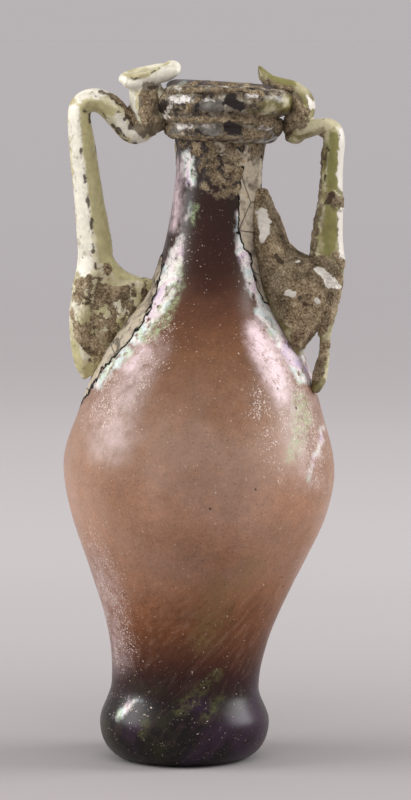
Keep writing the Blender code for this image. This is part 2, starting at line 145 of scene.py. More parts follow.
# Sides of each rod, and sections to one turn of the coil and to one span of a winding or a pad
COIL_SIDES, WINDING_SIDES, ROD_SIDES = 24, 16, 32
COIL_SECTIONS, WINDING_SECTIONS, PAD_SECTIONS = 96, 8, 4

# How sharp the ridge along each strap is
LEFT_RIDGE, RIGHT_RIDGE = 0.9, 0.4

# How high soil and crust stand off the glass, in metres
SOIL_LIFT = {"flask": 0.0004, "coil": 0.0004, "left handle": 0.0005, "right handle": 0.0006}

# A mark's depth is in pixels inside its edge: the depth before any stroke, and the most that is kept
NO_STROKE, DEPTH_LIMIT = -1e3, 20.0

# Depth from which a mark's edge is made uneven, the unevenness in metres and its amount in pixels
EDGE_FROM, EDGE_SIZE, EDGE_AMOUNT = -6.0, 0.0014, 2.5

# How fast a stroke on one side fades out past the flask's axis, and the steps of a vertex weight
SIDE_FADE, WEIGHT_STEPS = 1.5, 20

# Shares of the thumb rest's radius inside which its top is pressed in, one after the other
DISH_RINGS = (0.82, 0.72, 0.60, 0.46)

# The deepest that a rod gets from front to back, as a share of its own depth
DEEPEST_ROD = 1.15

# Where the skin is marked, brushed on as runs of (column, row, radius) in pixels of the 411 x 800
# view from the front. "front" and "back" strokes stay on their side, "round" ones go right through.
FLASK_MARKS = {
    "crust": {
        "front": [
            [(252, 146, 9), (251, 180, 11), (249, 205, 10), (247, 232, 9), (254, 252, 6)],
            [(254, 252, 5), (259, 278, 5), (268, 298, 5), (281, 308, 5), (299, 336, 4), (309, 354, 2)],
            [(160, 258, 4), (150, 290, 7), (138, 316, 8), (118, 342, 8), (96, 364, 8), (80, 394, 7),
             (72, 412, 4)],
            [(222, 146, 8), (238, 160, 7)],
        ],
        "back": [
            [(150, 148, 14), (215, 152, 16), (240, 190, 12), (246, 240, 8)],
            [(150, 292, 7), (120, 342, 9), (90, 385, 6)], [(258, 280, 6), (284, 322, 7), (306, 356, 4)],
        ],
    },
    "soil": {
        "front": [
            [(184, 144, 6), (205, 150, 11), (232, 152, 14), (255, 148, 8)],
            [(207, 166, 9), (222, 178, 11), (234, 172, 9)], [(206, 186, 6), (226, 195, 6), (238, 188, 4)],
            [(216, 86, 4), (232, 88, 5)], [(244, 90, 5), (262, 93, 5)], [(172, 90, 4), (196, 86, 3)],
            [(200, 82, 2), (250, 84, 2)],
        ],
        "back": [[(190, 148, 9), (225, 158, 12), (220, 185, 9)], [(180, 92, 5), (240, 92, 5)]],
        "round": [[(266, 146, 5), (262, 158, 4)], [(164, 142, 4), (170, 146, 3)]],
    },
    # Pearl film is laid along the highlight streaks down both shoulders, so it is partly painted highlight;
    # the strokes on the foot paint a glint
    "pearl": {
        "front": [
            [(188, 156, 5.5), (189, 172, 5.5), (192, 186, 3)], [(190, 204, 0.5), (186, 222, 1)],
            [(182, 236, 2), (177, 252, 6), (170, 276, 9), (160, 300, 10), (148, 318, 9), (134, 338, 7)],
            [(240, 214, 3), (241, 246, 5), (248, 266, 6), (254, 286, 7), (263, 300, 7)],
            [(262, 312, 7), (276, 326, 9), (292, 352, 9), (304, 376, 8)],
            [(126, 352, 6), (112, 366, 5), (98, 386, 3)],
            [(322, 428, 1.6), (320, 446, 2.0), (316, 458, 1.4)], [(314, 462, 1.2), (309, 478, 1.6)],
            [(116, 722, 2), (128, 709, 3.5), (138, 703, 1.5)], [(176, 88, 0.5), (186, 84, 0.5)],
        ],
        "back": [
            [(186, 200, 6), (176, 256, 9), (158, 306, 10), (130, 348, 8)],
            [(252, 290, 8), (284, 340, 9), (300, 390, 8), (304, 430, 6)], [(226, 700, 8), (246, 716, 6)],
        ],
    },
    "green": {
        "front": [
            [(196, 207, 3), (193, 222, 3)],
            [(180, 262, 3), (176, 284, 6), (170, 304, 8), (160, 322, 8), (148, 338, 5)],
            [(299, 398, 7), (303, 418, 9), (299, 440, 8), (290, 460, 4)],
            [(219, 676, 5), (200, 694, 8), (180, 712, 7)], [(222, 700, 4), (206, 720, 5)],
            [(144, 726, 5), (141, 738, 4)],
        ],
        "back": [[(172, 300, 6), (152, 334, 6)], [(236, 676, 6), (204, 706, 8)]],
    },
    # Pink film; on the right shoulder it is made bright where the right lamp's highlight falls, so it is
    # partly painted highlight
    "pink": {
        "front": [
            [(177, 160, 1), (177, 196, 3), (174, 226, 3)],
            [(254, 330, 8), (266, 352, 13), (276, 376, 11), (282, 396, 6)],
            [(144, 350, 2), (130, 368, 3)], [(268, 306, 5), (282, 318, 4)],
        ],
        "back": [[(252, 340, 14), (276, 390, 12)], [(140, 366, 14), (116, 410, 12)]],
    },
    "dark": {
        "front": [
            [(212, 206, 16), (213, 235, 18), (213, 262, 19), (212, 280, 15)],
            [(228, 156, 6), (232, 168, 5)],
        ],
        "back": [[(214, 210, 18), (214, 270, 20)]],
    },
    # Haze strokes lie on the flanks where the side lamps light the glass: partly a painted glow of those
    # lamps
    "haze": {
        "front": [
            [(156, 344, 10), (132, 376, 16), (112, 416, 20), (108, 444, 18)],
            [(92, 556, 8), (104, 590, 14), (112, 630, 12), (118, 664, 8)],
            [(296, 400, 18), (304, 440, 14), (312, 480, 8)],
            [(314, 560, 4), (296, 610, 5), (284, 652, 4)],
        ],
        "back": [[(120, 410, 20), (110, 470, 14)], [(296, 420, 18), (290, 600, 10)]],
    },
    "frost": {
        "front": [
            [(160, 330, 18), (128, 372, 26), (104, 416, 22)],
            [(84, 540, 18), (100, 590, 26), (116, 650, 24)],
            [(262, 330, 16), (286, 376, 26), (300, 430, 26), (316, 480, 14)],
            [(312, 560, 8), (286, 640, 10)], [(262, 400, 18), (276, 450, 16), (290, 480, 10)],
            [(262, 290, 10), (276, 312, 10)], [(116, 704, 8), (140, 714, 4)],
            [(180, 236, 8), (172, 280, 10)],
        ],
        "back": [
            [(150, 340, 26), (110, 420, 26)], [(280, 360, 26), (310, 450, 20)],
            [(100, 580, 18), (120, 660, 14)], [(300, 600, 14), (270, 670, 10)],
        ],
    },
    "ochre": {
        "front": [[(222, 592, 14), (212, 620, 16), (202, 642, 12)], [(258, 560, 8), (240, 590, 8)]],
        "back": [[(190, 560, 18), (200, 610, 16)]],
    },
}
COIL_MARKS = {
    "grey": {
        "round": [[(203, 105, 6), (217, 107, 7)], [(204, 129, 7), (216, 131, 7)], [(175, 132, 4)]],
    },
    # Silvery film, partly painted highlight: its strokes lie where the turns catch white highlights
    "silver": {
        "round": [
            [(173, 100, 3), (186, 101, 4)], [(170, 108, 2), (163, 116, 4), (170, 119, 2)],
            [(181, 126, 5), (190, 126, 4)], [(204, 126, 2), (212, 126, 2)],
            [(203, 101, 1.5), (214, 102, 1.5)], [(246, 97, 3), (256, 97, 2)],
            [(262, 127, 3), (270, 128, 3)],
        ],
    },
    "dark": {
        "round": [
            [(231, 102, 7), (240, 106, 5)], [(229, 126, 7), (238, 132, 6)],
            [(197, 104, 3), (196, 112, 3)], [(165, 104, 4), (161, 110, 4)],
            [(196, 130, 3), (200, 136, 3)],
        ],
    },
    "cream": {
        "round": [[(262, 108, 5), (278, 106, 7), (288, 104, 9)], [(250, 113, 3), (270, 116, 3)]],
    },
    "soil": {
        "front": [
            [(174, 93, 2), (200, 91, 2.5), (236, 91, 2.5), (262, 94, 2)],
            [(236, 117, 4), (256, 120, 6), (274, 123, 6)], [(170, 120, 3), (200, 120, 3), (236, 120, 3)],
            [(170, 137, 2), (220, 138, 2), (270, 137, 2)], [(186, 113, 2), (198, 100, 3)],
        ],
        "round": [
            [(157, 124, 5), (166, 130, 5)], [(166, 95, 3), (158, 100, 3)], [(246, 132, 4), (262, 134, 4)],
            [(280, 122, 4), (278, 132, 5)],
        ],
    },
}
LEFT_MARKS = {
    "brown": {
        "round": [
            # The first stroke fills the gap between the limb and the coil, where the brown is partly painted
            # shade over the soil
            [(149, 92, 9), (149, 112, 10), (153, 127, 10), (160, 134, 6)],
            [(100, 92, 1), (112, 97, 2.4), (122, 103, 3), (130, 113, 4), (136, 124, 4), (143, 135, 4)],
        ],
    },
    "cream": {
        "round": [
            # Cream down the strap's outer left edge, partly painted light from the left lamp
            [(74, 112, 7), (78, 150, 6), (82, 200, 7), (86, 240, 8), (84, 268, 9)],
            [(84, 98, 8), (104, 92, 6)], [(122, 82, 6), (134, 88, 5), (152, 84, 7), (176, 72, 11)],
            [(132, 93, 4), (133, 108, 4), (137, 118, 2)], [(119, 117, 4), (127, 130, 6), (140, 141, 6)],
        ],
    },
    "clear": {
        "round": [
            [(110, 112, 6), (90, 108, 9), (94, 150, 10), (100, 190, 10), (104, 230, 10), (110, 258, 10),
             (126, 277, 5)],
            [(126, 277, 4), (152, 280, 3)],
            [(90, 374, 6), (102, 352, 8), (114, 338, 6), (124, 322, 6), (112, 326, 5)],
            [(74, 344, 4), (80, 366, 5)],
        ],
    },
    "soil": {
        "round": [
            [(84, 290, 13), (100, 300, 17), (118, 304, 16), (138, 292, 12), (152, 284, 8)],
            [(84, 312, 13), (90, 336, 14), (96, 354, 11)], [(92, 282, 7), (106, 268, 6)],
            [(110, 330, 12), (124, 316, 10)],
            [(149, 94, 9), (149, 112, 10), (153, 126, 9), (160, 133, 5)],
            [(98, 92, 0.5), (110, 97, 2), (121, 103, 3), (129, 112, 3.4), (136, 124, 3.4), (142, 133, 3)],
            [(118, 318, 5), (110, 342, 4)],
        ],
    },
    "dark": {
        "round": [
            [(81, 145, 0.3), (82, 160, 0.4)], [(84, 168, 0.3), (86, 182, 0.5)],
            [(88, 195, 0.4), (90, 212, 0.6)], [(92, 220, 0.6), (94, 252, 0.9)],
            [(94, 262, 1.2), (98, 268, 1.2)], [(96, 146, 0.8), (97, 153, 0.8)],
            [(90, 114, 0.6), (91, 122, 1.0)], [(97, 97, 0.3), (112, 100, 0.7), (122, 108, 0.8)],
            [(119, 113, 0.9), (120, 114, 0.9)], [(124, 120, 1.1), (125, 121, 1.0)],
            [(129, 126, 1.3), (130, 128, 1.2)], [(84, 112, 1.0), (90, 114, 0.8)],
            [(103, 113, 0.2), (111, 121, 0.4), (117, 131, 0.5), (125, 140, 0.5), (136, 144, 0.6)],
            [(126, 112, 0.5), (132, 126, 0.9)], [(118, 128, 0.4), (126, 138, 0.6), (136, 143, 0.4)],
            [(150, 89, 1.0), (158, 87, 0.8)], [(74, 262, 0.6), (72, 276, 0.8)],
        ],
        "front": [[(134, 80, 0.5), (150, 75, 0.6), (160, 70, 0.4)]],
    },
}
RIGHT_MARKS = {
    "brown": {
        "round": [
            [(276, 94, 5), (290, 96, 6), (298, 104, 6), (292, 120, 10), (284, 132, 7)],
            [(322, 134, 1), (321, 180, 1.4), (317, 210, 2.4), (312, 246, 4)],
        ],
    },
    "white": {
        "front": [
            [(261, 214, 5), (265, 232, 5), (262, 242, 2)], [(318, 270, 4), (329, 281, 6), (336, 286, 3)],
            [(297, 262, 2.5), (300, 262, 2)], [(289, 292, 3.5), (293, 294, 3)],
            # These strokes down the strap's right edge paint a highlight of the right lamp
            [(343, 132, 5), (344, 184, 7)], [(344, 214, 7), (346, 254, 7)],
            [(316, 300, 2), (318, 302, 2)],
        ],
        "round": [[(306, 97, 2.3), (313, 107, 2.9)]],
        "back": [[(272, 226, 7), (276, 246, 6)], [(310, 300, 6), (326, 284, 4)]],
    },
    "clear": {
        "round": [
            [(333, 138, 6), (332, 180, 6), (330, 225, 6), (328, 248, 6)],
            [(262, 66, 4), (276, 80, 4), (290, 84, 4)], [(326, 344, 3), (320, 372, 3)],
        ],
    },
    "cream": {
        "round": [
            [(300, 131, 5), (318, 123, 5), (340, 124, 6)], [(331, 352, 2), (326, 378, 2)],
            # These cream strokes down the strap's right edge paint a highlight of the right lamp
            [(345, 134, 5), (346, 188, 5)], [(346, 216, 5), (347, 250, 5)],
        ],
    },
    "soil": {
        "round": [
            [(260, 198, 12), (264, 222, 17), (276, 250, 21), (292, 274, 26), (314, 284, 30),
             (320, 300, 22)],
            [(258, 222, 12), (266, 256, 14), (280, 290, 14), (292, 316, 12)],
            [(304, 318, 18), (318, 316, 16), (300, 338, 10)],
            [(326, 344, 4), (322, 362, 4), (316, 378, 4)], [(330, 196, 5), (336, 203, 6)],
            [(322, 134, 2), (321, 176, 1.6), (316, 204, 2.6), (312, 246, 5)],
            [(290, 122, 8), (300, 120, 6), (280, 128, 8), (286, 136, 5)], [(291, 100, 5), (302, 112, 6)],
            [(306, 122, 3), (300, 126, 4)], [(342, 262, 6), (336, 256, 5)],
            [(343, 200, 4), (341, 206, 4)],
        ],
        "front": [[(262, 80, 3), (272, 88, 5), (286, 92, 6)]],
    },
    "dark": {
        "front": [
            [(326, 150, 1.2), (325, 160, 1.4)], [(324, 176, 1.4), (323, 184, 1.2)],
            [(276, 256, 2), (282, 262, 2)], [(300, 298, 2), (304, 304, 2.4)],
            [(330, 196, 3), (328, 202, 3)],
        ],
        "round": [[(289, 134, 2)]],
    },
}


def length(name, description, default):
    return FloatProperty(name=name, description=description, default=default, unit="LENGTH", precision=5)


def turn(name, description, degrees):
    return FloatProperty(
        name=name, description=description, default=math.radians(degrees), subtype="ANGLE", unit="ROTATION"
    )


def colour(name, description, default):
    return FloatVectorProperty(
        name=name, description=description, default=default, subtype="COLOR", size=3, min=0.0, max=1.0
    )


class FlaskSizes(bpy.types.PropertyGroup):
    """Sizes of the blown flask, with heights stacked up from its underside."""

    underside_radius: length("Underside radius", "Flat underside that the flask stands on", 0.0112)
    foot_radius: length("Foot radius", "Widest ring of the foot", 0.0169)
    foot_height: length("Foot height", "Underside to the widest ring of the foot", 0.0073)
    waist_radius: length("Waist radius", "Narrowest ring above the foot", 0.0147)
    waist_rise: length("Waist rise", "Foot ring to waist", 0.0075)
    belly_radius: length("Belly radius", "Widest ring of the body", 0.0269)
    belly_rise: length("Belly rise", "Waist to belly", 0.0436)
    neck_radius: length("Neck radius", "Narrowest ring of the neck", 0.0084)
    neck_rise: length("Neck rise", "Belly to neck", 0.0584)
    collar_radius: length("Collar radius", "Neck where the coil is wound", 0.0096)
    collar_rise: length("Collar rise", "Neck to collar", 0.0112)
    rim_radius: length("Rim radius", "Outside of the lip", 0.0116)
    rim_rise: length("Rim rise", "Collar to the top of the lip", 0.0068)
    mouth_radius: length("Mouth radius", "Clear radius of the mouth", 0.0072)
    lip_thickness: length("Lip thickness", "Height of the rounded lip", 0.0030)
    body_wall: length("Body wall", "Glass thickness of the body", 0.0018)
    neck_wall: length("Neck wall", "Glass thickness of the neck", 0.0022)
    floor_thickness: length("Floor thickness", "Glass below the hollow", 0.0160)
    hollow_end: length("Hollow end", "Height of the rounded bottom of the hollow", 0.0080)
    lean: turn("Lean", "How far the flask leans to the right", 3.8)
    lean_run_in: length("Lean run-in", "Height over which the lean sets in", 0.0150)
    segments: IntProperty(name="Segments", description="Faces round the flask", default=240, min=24)


class CoilSizes(bpy.types.PropertyGroup):
    """Sizes of the trail of glass wound round the rim."""

    low_thickness: length("Lower thickness", "Trail in its first turn", 0.0040)
    high_thickness: length("Upper thickness", "Trail in its last turn", 0.0050)
    end_thickness: length("End thickness", "Knob where the trail was broken off", 0.0054)
    sink: length("Sink", "How deep the trail is pressed into the neck", 0.0018)
    turns: FloatProperty(name="Turns", description="Turns round the rim", default=1.96)
    end_angle: turn("End angle", "Where the trail ends, round from the right", -14.0)
    low_drop: length("Lower drop", "Rim top down to the middle of the first turn", 0.0096)
    high_drop: length("Upper drop", "Rim top down to the middle of the last turn", 0.0056)
    end_lift: length("End lift", "Rise of the last turn towards its end", 0.0024)
    end_flare: length("End flare", "How far the end stands off the rim", 0.0007)


class HandleSizes(bpy.types.PropertyGroup):
    """Sizes of the two applied handles."""

    left_turn: turn("Left turn", "Direction of the left handle", 184.0)
    left_width: length("Left rod width", "Rod across, seen from the front", 0.0048)
    left_depth: length("Left rod depth", "Rod from front to back", 0.0056)
    left_reach: length("Left strap reach", "Axis to the middle of the strap", 0.0282)
    left_tip: length("Left tip", "Belly up to the lower tip", 0.0168)
    left_pad_depth: length("Left pad depth", "Pad from front to back", 0.0056)
    left_pad_top: length("Left pad top", "Belly up to the top of the pad", 0.0416)
    right_turn: turn("Right turn", "Direction of the right handle", -14.0)
    right_width: length("Right rod width", "Rod across, seen from the front", 0.0040)
    right_depth: length("Right rod depth", "Rod from front to back", 0.0052)
    right_reach: length("Right strap reach", "Axis to the middle of the strap", 0.0228)
    right_tip: length("Right tip", "Belly up to the tail's tip", 0.0176)
    right_pad_depth: length("Right pad depth", "Pad from front to back", 0.0100)
    right_pad_top: length("Right pad top", "Belly up to the top of the pad", 0.0556)
    right_pad_end: length("Right pad end", "Belly up to the bottom of the pad", 0.0235)
    bite: length("Bite", "How far a pad runs into the flask's wall", 0.0010)
    rest_length: length("Thumb rest length", "Leaf of glass over the left limb", 0.0118)
    rest_width: length("Thumb rest width", "Leaf across", 0.0070)
    rest_thickness: length("Thumb rest thickness", "Leaf of glass", 0.0040)
    rest_tilt: turn("Thumb rest tilt", "How far the leaf tips to the front", 12.0)
    rest_rise: turn("Thumb rest rise", "How far the leaf slopes down to its outer end", 16.0)
    rest_hollow: length("Thumb rest hollow", "How deep the leaf's top is pressed in", 0.0011)
    grain: length("Mesh grain", "Voxel size that the parts of a handle are fused with", 0.00028)


class StageSizes(bpy.types.PropertyGroup):
    """Camera, floor and lights."""

    camera_distance: length("Camera distance", "Flask's axis to the camera", 0.80)
    camera_height: length("Camera height", "Camera above the floor", 0.145)
    aim_across: length("Aim across", "Middle of the view, to the right", 0.0042)
    aim_height: length("Aim height", "Middle of the view above the floor", 0.0717)
    view_step: length("View step", "Size of one pixel of the 411 x 800 view at the axis", 0.000199)
    floor_colour: colour("Floor colour", "Pale floor", (0.60, 0.57, 0.57))
    air_colour: colour(
        "Air colour", "Soft light from all round, seen beyond the floor", (0.475, 0.450, 0.460)
    )


def tone(red, green, blue):
    """A colour given as 0 to 255 a channel on screen, as the linear colour that shaders take."""
    return tuple((value / 255.0) ** 2.2 for value in (red, green, blue))


# Size of the view from the front, in pixels
VIEW_WIDTH, VIEW_HEIGHT = 411, 800

# The flask's colour, by the share of the shaded height that a place is up from the underside: dark where the
# glass is thick at the foot and neck, and pale over the thin belly, where the paler colour is a painted glow
# of light shining through the wall
SHADED_HEIGHT = 0.14
FLASK_SHADES_AND_GLOW = (
    (0.00, tone(14, 8, 8)), (0.09, tone(24, 12, 12)), (0.13, tone(52, 17, 9)),
    (0.20, tone(122, 75, 45)), (0.27, tone(154, 107, 77)), (0.36, tone(177, 132, 105)),
    (0.47, tone(148, 111, 86)), (0.586, tone(122, 83, 56)), (0.643, tone(92, 57, 38)),
    (0.70, tone(58, 36, 25)), (0.79, tone(46, 33, 26)), (0.95, tone(62, 55, 54)),
    (0.99, tone(92, 82, 80)),
)

# How bright the floor is painted by its share of the way from the flask to the horizon: painted shade near
# the flask, painted light far off
FLOOR_FADE = (
    (0.0, (0.61, 0.60, 0.60)), (0.08, (0.66, 0.65, 0.65)), (0.22, (0.86, 0.86, 0.86)),
    (0.45, (1.42, 1.44, 1.44)), (0.75, (1.64, 1.70, 1.70)), (0.92, (1.66, 1.74, 1.74)),
)

# How far out to each side the lamps stand, and the middle of the light that they throw on the floor
LAMP_REACH, LAMP_POOL = 0.62, 0.45

# Each lamp: its place, the height on the axis that it is aimed at, its width and height, its power,
# and whether the glass mirrors it
LAMPS = {
    "left lamp": ((-LAMP_REACH, -0.06, 0.36), 0.08, (0.45, 0.5), 1.55, True),
    "right lamp": ((LAMP_REACH, 0.02, 0.36), 0.08, (0.35, 0.5), 1.5, True),
    "top lamp": ((0.0, -0.5, 0.9), 0.05, (1.0, 0.6), 1.4, False),
}
LAMP_SPREAD = math.radians(110.0)

# The floor runs on so far that its edge can't be seen
FLOOR_WIDTH = 120.0


def blend(start, end, share):
    return start + (end - start) * share


def between(value, low, high):
    """Share of the way that value has gone from low to high."""
    return (value - low) / (high - low)


def ease(share):
    """Smooth step from 0 to 1."""
    share = min(max(share, 0.0), 1.0)
    return share * share * (3.0 - 2.0 * share)


def steps(start, end, count):
    """Evenly spaced values from start towards end, without the end."""
    return [blend(start, end, index / count) for index in range(count)]


def rounded_steps(knots, at):
    """Height at `at` on a curve through knots (x rising) that never overshoots them."""
    spans = [(b[0] - a[0], (b[1] - a[1]) / (b[0] - a[0])) for a, b in zip(knots, knots[1:])]
    slopes = [0.0]
    for (before, rise_before), (after, rise_after) in zip(spans, spans[1:]):
        near, far = 2.0 * after + before, after + 2.0 * before
        slopes.append((near + far) / (near / rise_before + far / rise_after))
    slopes.append(0.0)
    index = 0
    while index < len(spans) - 1 and at > knots[index + 1][0]:
        index += 1
    width = spans[index][0]
    share = min(max((at - knots[index][0]) / width, 0.0), 1.0)
    return (
        blend(knots[index][1], knots[index + 1][1], ease(share))
        + width * slopes[index] * share * (1.0 - share) ** 2
        - width * slopes[index + 1] * share ** 2 * (1.0 - share)
    )


def smooth_rows(rows, per_span):
    """Rows of numbers read from one smooth curve through the given rows."""
    padded = [rows[0], *rows, rows[-1]]
    result = []
    for index in range(len(rows) - 1):
        window = padded[index : index + 4]
        for share in steps(0.0, 1.0, per_span):
            row = []
            for before, start, end, after in zip(*window):
                lift = (end - before) / 2 * share * (1.0 - share) ** 2
                fall = (after - start) / 2 * share ** 2 * (1.0 - share)
                row.append(blend(start, end, ease(share)) + lift - fall)
            result.append(tuple(row))
    result.append(tuple(rows[-1]))
    return result


class Heights:
    """Heights of the flask's rings above its underside, from its stacked sizes."""

    def __init__(self, flask):
        self.foot = flask.foot_height
        self.waist = self.foot + flask.waist_rise
        self.belly = self.waist + flask.belly_rise
        self.neck = self.belly + flask.neck_rise
        self.collar = self.neck + flask.collar_rise
        self.rim = self.collar + flask.rim_rise
        self.lip = self.rim - flask.lip_thickness / 2


def flask_radius(flask, height):
    """Outer radius of the blown flask from the foot ring up to the middle of the lip."""
    at = Heights(flask)
    if height < at.waist:
        return blend(flask.foot_radius, flask.waist_radius, ease(between(height, at.foot, at.waist)))
    if height < at.belly:
        share = between(height, at.waist, at.belly) ** LOWER_BODY_LAG
        return blend(flask.waist_radius, flask.belly_radius, ease(share))
    if height < at.neck:
        lost = rounded_steps(SHOULDER_SWEEP, between(height, at.belly, at.neck))
        return blend(flask.belly_radius, flask.neck_radius, lost)
    if height < at.collar:
        return blend(flask.neck_radius, flask.collar_radius, between(height, at.neck, at.collar) ** 2)
    return blend(flask.collar_radius, flask.rim_radius, between(height, at.collar, at.lip) ** 1.5)


def flask_profile(flask):
    """Radius and height pairs of the glass: up the outside, over the lip and down the inside."""
    at = Heights(flask)
    points = [(0.0, 0.0), (flask.underside_radius * 0.5, 0.0)]
    for angle in steps(0.0, math.pi / 2, ROUND_RINGS):
        spread = (flask.foot_radius - flask.underside_radius) * math.sin(angle)
        points.append((flask.underside_radius + spread, flask.foot_height * (1.0 - math.cos(angle))))
    stretches = (at.foot, at.waist, at.belly, at.neck, at.collar, at.lip)
    for low, high, count in zip(stretches, stretches[1:], OUTSIDE_RINGS):
        points += [(flask_radius(flask, height), height) for height in steps(low, high, count)]
    middle = (flask.rim_radius + flask.mouth_radius) / 2
    half = (flask.rim_radius - flask.mouth_radius) / 2
    for angle in steps(0.0, math.pi, ROUND_RINGS):
        points.append((middle + half * math.cos(angle), at.lip + flask.lip_thickness / 2 * math.sin(angle)))
    points.append((flask.mouth_radius, at.lip))
    end_top = flask.floor_thickness + flask.hollow_end
    stretches = (at.collar, at.neck, at.belly, end_top)
    inside = []
    for high, low, count in zip(stretches, stretches[1:], INSIDE_RINGS):
        inside += steps(high, low, count)
    for height in inside + [end_top]:
        wall = blend(flask.body_wall, flask.neck_wall, ease(between(height, at.belly, at.neck)))
        points.append((flask_radius(flask, height) - wall, height))
    end_radius = points[-1][0]
    for angle in steps(0.0, math.pi / 2, HOLLOW_END_RINGS)[1:]:
        points.append((end_radius * math.cos(angle), end_top - flask.hollow_end * math.sin(angle)))
    points.append((0.0, flask.floor_thickness))
    return points


def points_of(piece):
    places = np.empty(len(piece.data.vertices) * 3)
    piece.data.vertices.foreach_get("co", places)
    return places.reshape(-1, 3)


def put_points(piece, places):
    piece.data.vertices.foreach_set("co", places.astype(np.float32).ravel())
    piece.data.update()


def leaned(places, flask):
    """Where points of the upright flask come to lie on the leaning one."""
    above = np.maximum(places[:, 2] - flask.foot_height, 0.0)
    set_in = np.minimum(above / flask.lean_run_in, 1.0)
    climb = above - flask.lean_run_in * (set_in - set_in ** 2 / 2)
    slope = math.tan(flask.lean)
    moved = places.copy()
    moved[:, 0] += slope * climb
    moved[:, 2] -= slope * set_in * places[:, 0]
    return moved


def only(piece):
    """Leaves object mode's selection with this piece alone, as the active one."""
    if bpy.context.mode != "OBJECT":
        bpy.ops.object.mode_set(mode="OBJECT")
    bpy.ops.object.select_all(action="DESELECT")
    if piece:
        piece.select_set(True)
        bpy.context.view_layer.objects.active = piece


def start_edit(piece, kind="VERT"):
    only(piece)
    bpy.ops.object.mode_set(mode="EDIT")
    bpy.ops.mesh.select_mode(type=kind)
    bpy.ops.mesh.select_all(action="SELECT")


def end_edit(name):
    """Closes the edit with every normal facing out, and names the piece."""
    bpy.ops.mesh.select_all(action="SELECT")
    bpy.ops.mesh.normals_make_consistent(inside=False)
    bpy.ops.object.mode_set(mode="OBJECT")
    piece = bpy.context.object
    piece.name = piece.data.name = name
    return piece


def turned(name, profile, segments):
    """A vertex drawn out along a profile and spun round the axis."""
    only(None)
    bpy.ops.mesh.primitive_plane_add(size=0.001)
    start_edit(bpy.context.object)
    bpy.ops.mesh.merge(type="CENTER")
    bpy.ops.transform.translate(value=(profile[0][0], 0.0, profile[0][1]))
    for (radius, height), (next_radius, next_height) in zip(profile, profile[1:]):
        move = (next_radius - radius, 0.0, next_height - height)
        bpy.ops.mesh.extrude_vertices_move(TRANSFORM_OT_translate={"value": move})
    bpy.ops.mesh.select_all(action="SELECT")
    bpy.ops.mesh.spin(steps=segments, angle=2.0 * math.pi, center=(0.0, 0.0, 0.0), axis=(0.0, 0.0, 1.0))
    bpy.ops.mesh.select_all(action="SELECT")
    bpy.ops.mesh.remove_doubles(threshold=1e-6)
    return end_edit(name)


def drawn_rod(name, rows, sides, ridge=0.0):
    """A glass rod drawn out section by section in the XZ plane: across, height, half width, half depth.

    A ridge makes the section's front and back edges that much sharper.
    """

    def heading(index):
        before, after = rows[max(index - 1, 0)], rows[min(index + 1, len(rows) - 1)]
        return math.atan2(after[0] - before[0], after[1] - before[1])

    across, height, half_width, half_depth = rows[0]
    only(None)
    bpy.ops.mesh.primitive_circle_add(
        vertices=sides, radius=1.0, fill_type="NGON",
        location=(across, 0.0, height), rotation=(0.0, heading(0), 0.0),
    )
    ring = bpy.context.object
    ring.scale = (half_width, half_depth, 1.0)
    corners = points_of(ring)
    power = 2.0 - 0.65 * ridge
    squeeze = (np.abs(corners[:, :2]) ** power).sum(axis=1) ** (-1.0 / power)
    put_points(ring, corners * np.column_stack((squeeze, squeeze, np.ones(len(corners)))))
    bpy.ops.object.transform_apply(location=True, rotation=True, scale=True)
    start_edit(ring, "FACE")
    for index in range(1, len(rows)):
        across, height, half_width, half_depth = rows[index]
        before = rows[index - 1]
        move = (across - before[0], 0.0, height - before[1])
        bpy.ops.mesh.extrude_region_move(TRANSFORM_OT_translate={"value": move})
        centre = (across, 0.0, height)
        bend = heading(index) - heading(index - 1)
        bend = (bend + math.pi) % (2.0 * math.pi) - math.pi
        bpy.ops.transform.rotate(value=-bend, orient_axis="Y", orient_type="GLOBAL", center_override=centre)
        size = half_width / before[2]
        bpy.ops.transform.resize(value=(size, half_depth / before[3], size), center_override=centre)
    return end_edit(name)


def stacked_pad(name, rows, corner=0.42):
    """A pad built up of level sections in the XZ plane: inner and outer edge, height, half depth."""
    inner, outer, height, half_depth = rows[0]
    only(None)
    bpy.ops.mesh.primitive_plane_add(size=2.0)
    plate = bpy.context.object
    start_edit(plate)
    bpy.ops.mesh.bevel(offset=2.0 * corner, affect="VERTICES", segments=5)
    bpy.ops.object.mode_set(mode="OBJECT")
    plate.location = ((inner + outer) / 2, 0.0, height)
    plate.scale = ((outer - inner) / 2, half_depth, 1.0)
    bpy.ops.object.transform_apply(location=True, rotation=True, scale=True)
    start_edit(plate, "FACE")
    for before, after in zip(rows, rows[1:]):
        middle_before, middle = (before[0] + before[1]) / 2, (after[0] + after[1]) / 2
        move = (middle - middle_before, 0.0, after[2] - before[2])
        bpy.ops.mesh.extrude_region_move(TRANSFORM_OT_translate={"value": move})
        size = ((after[1] - after[0]) / (before[1] - before[0]), after[3] / before[3], 1.0)
        bpy.ops.transform.resize(value=size, center_override=(middle, 0.0, after[2]))
    return end_edit(name)


def lump(place, size, spin=0.0):
    """A pinch of packed soil: middle and half sizes in the XZ plane, turned in that plane."""
    only(None)
    bpy.ops.mesh.primitive_ico_sphere_add(
        subdivisions=3, radius=1.0, location=place, rotation=(0.0, spin, 0.0)
    )
    piece = bpy.context.object
    piece.scale = size
    bpy.ops.object.transform_apply(location=True, rotation=True, scale=True)
    return piece


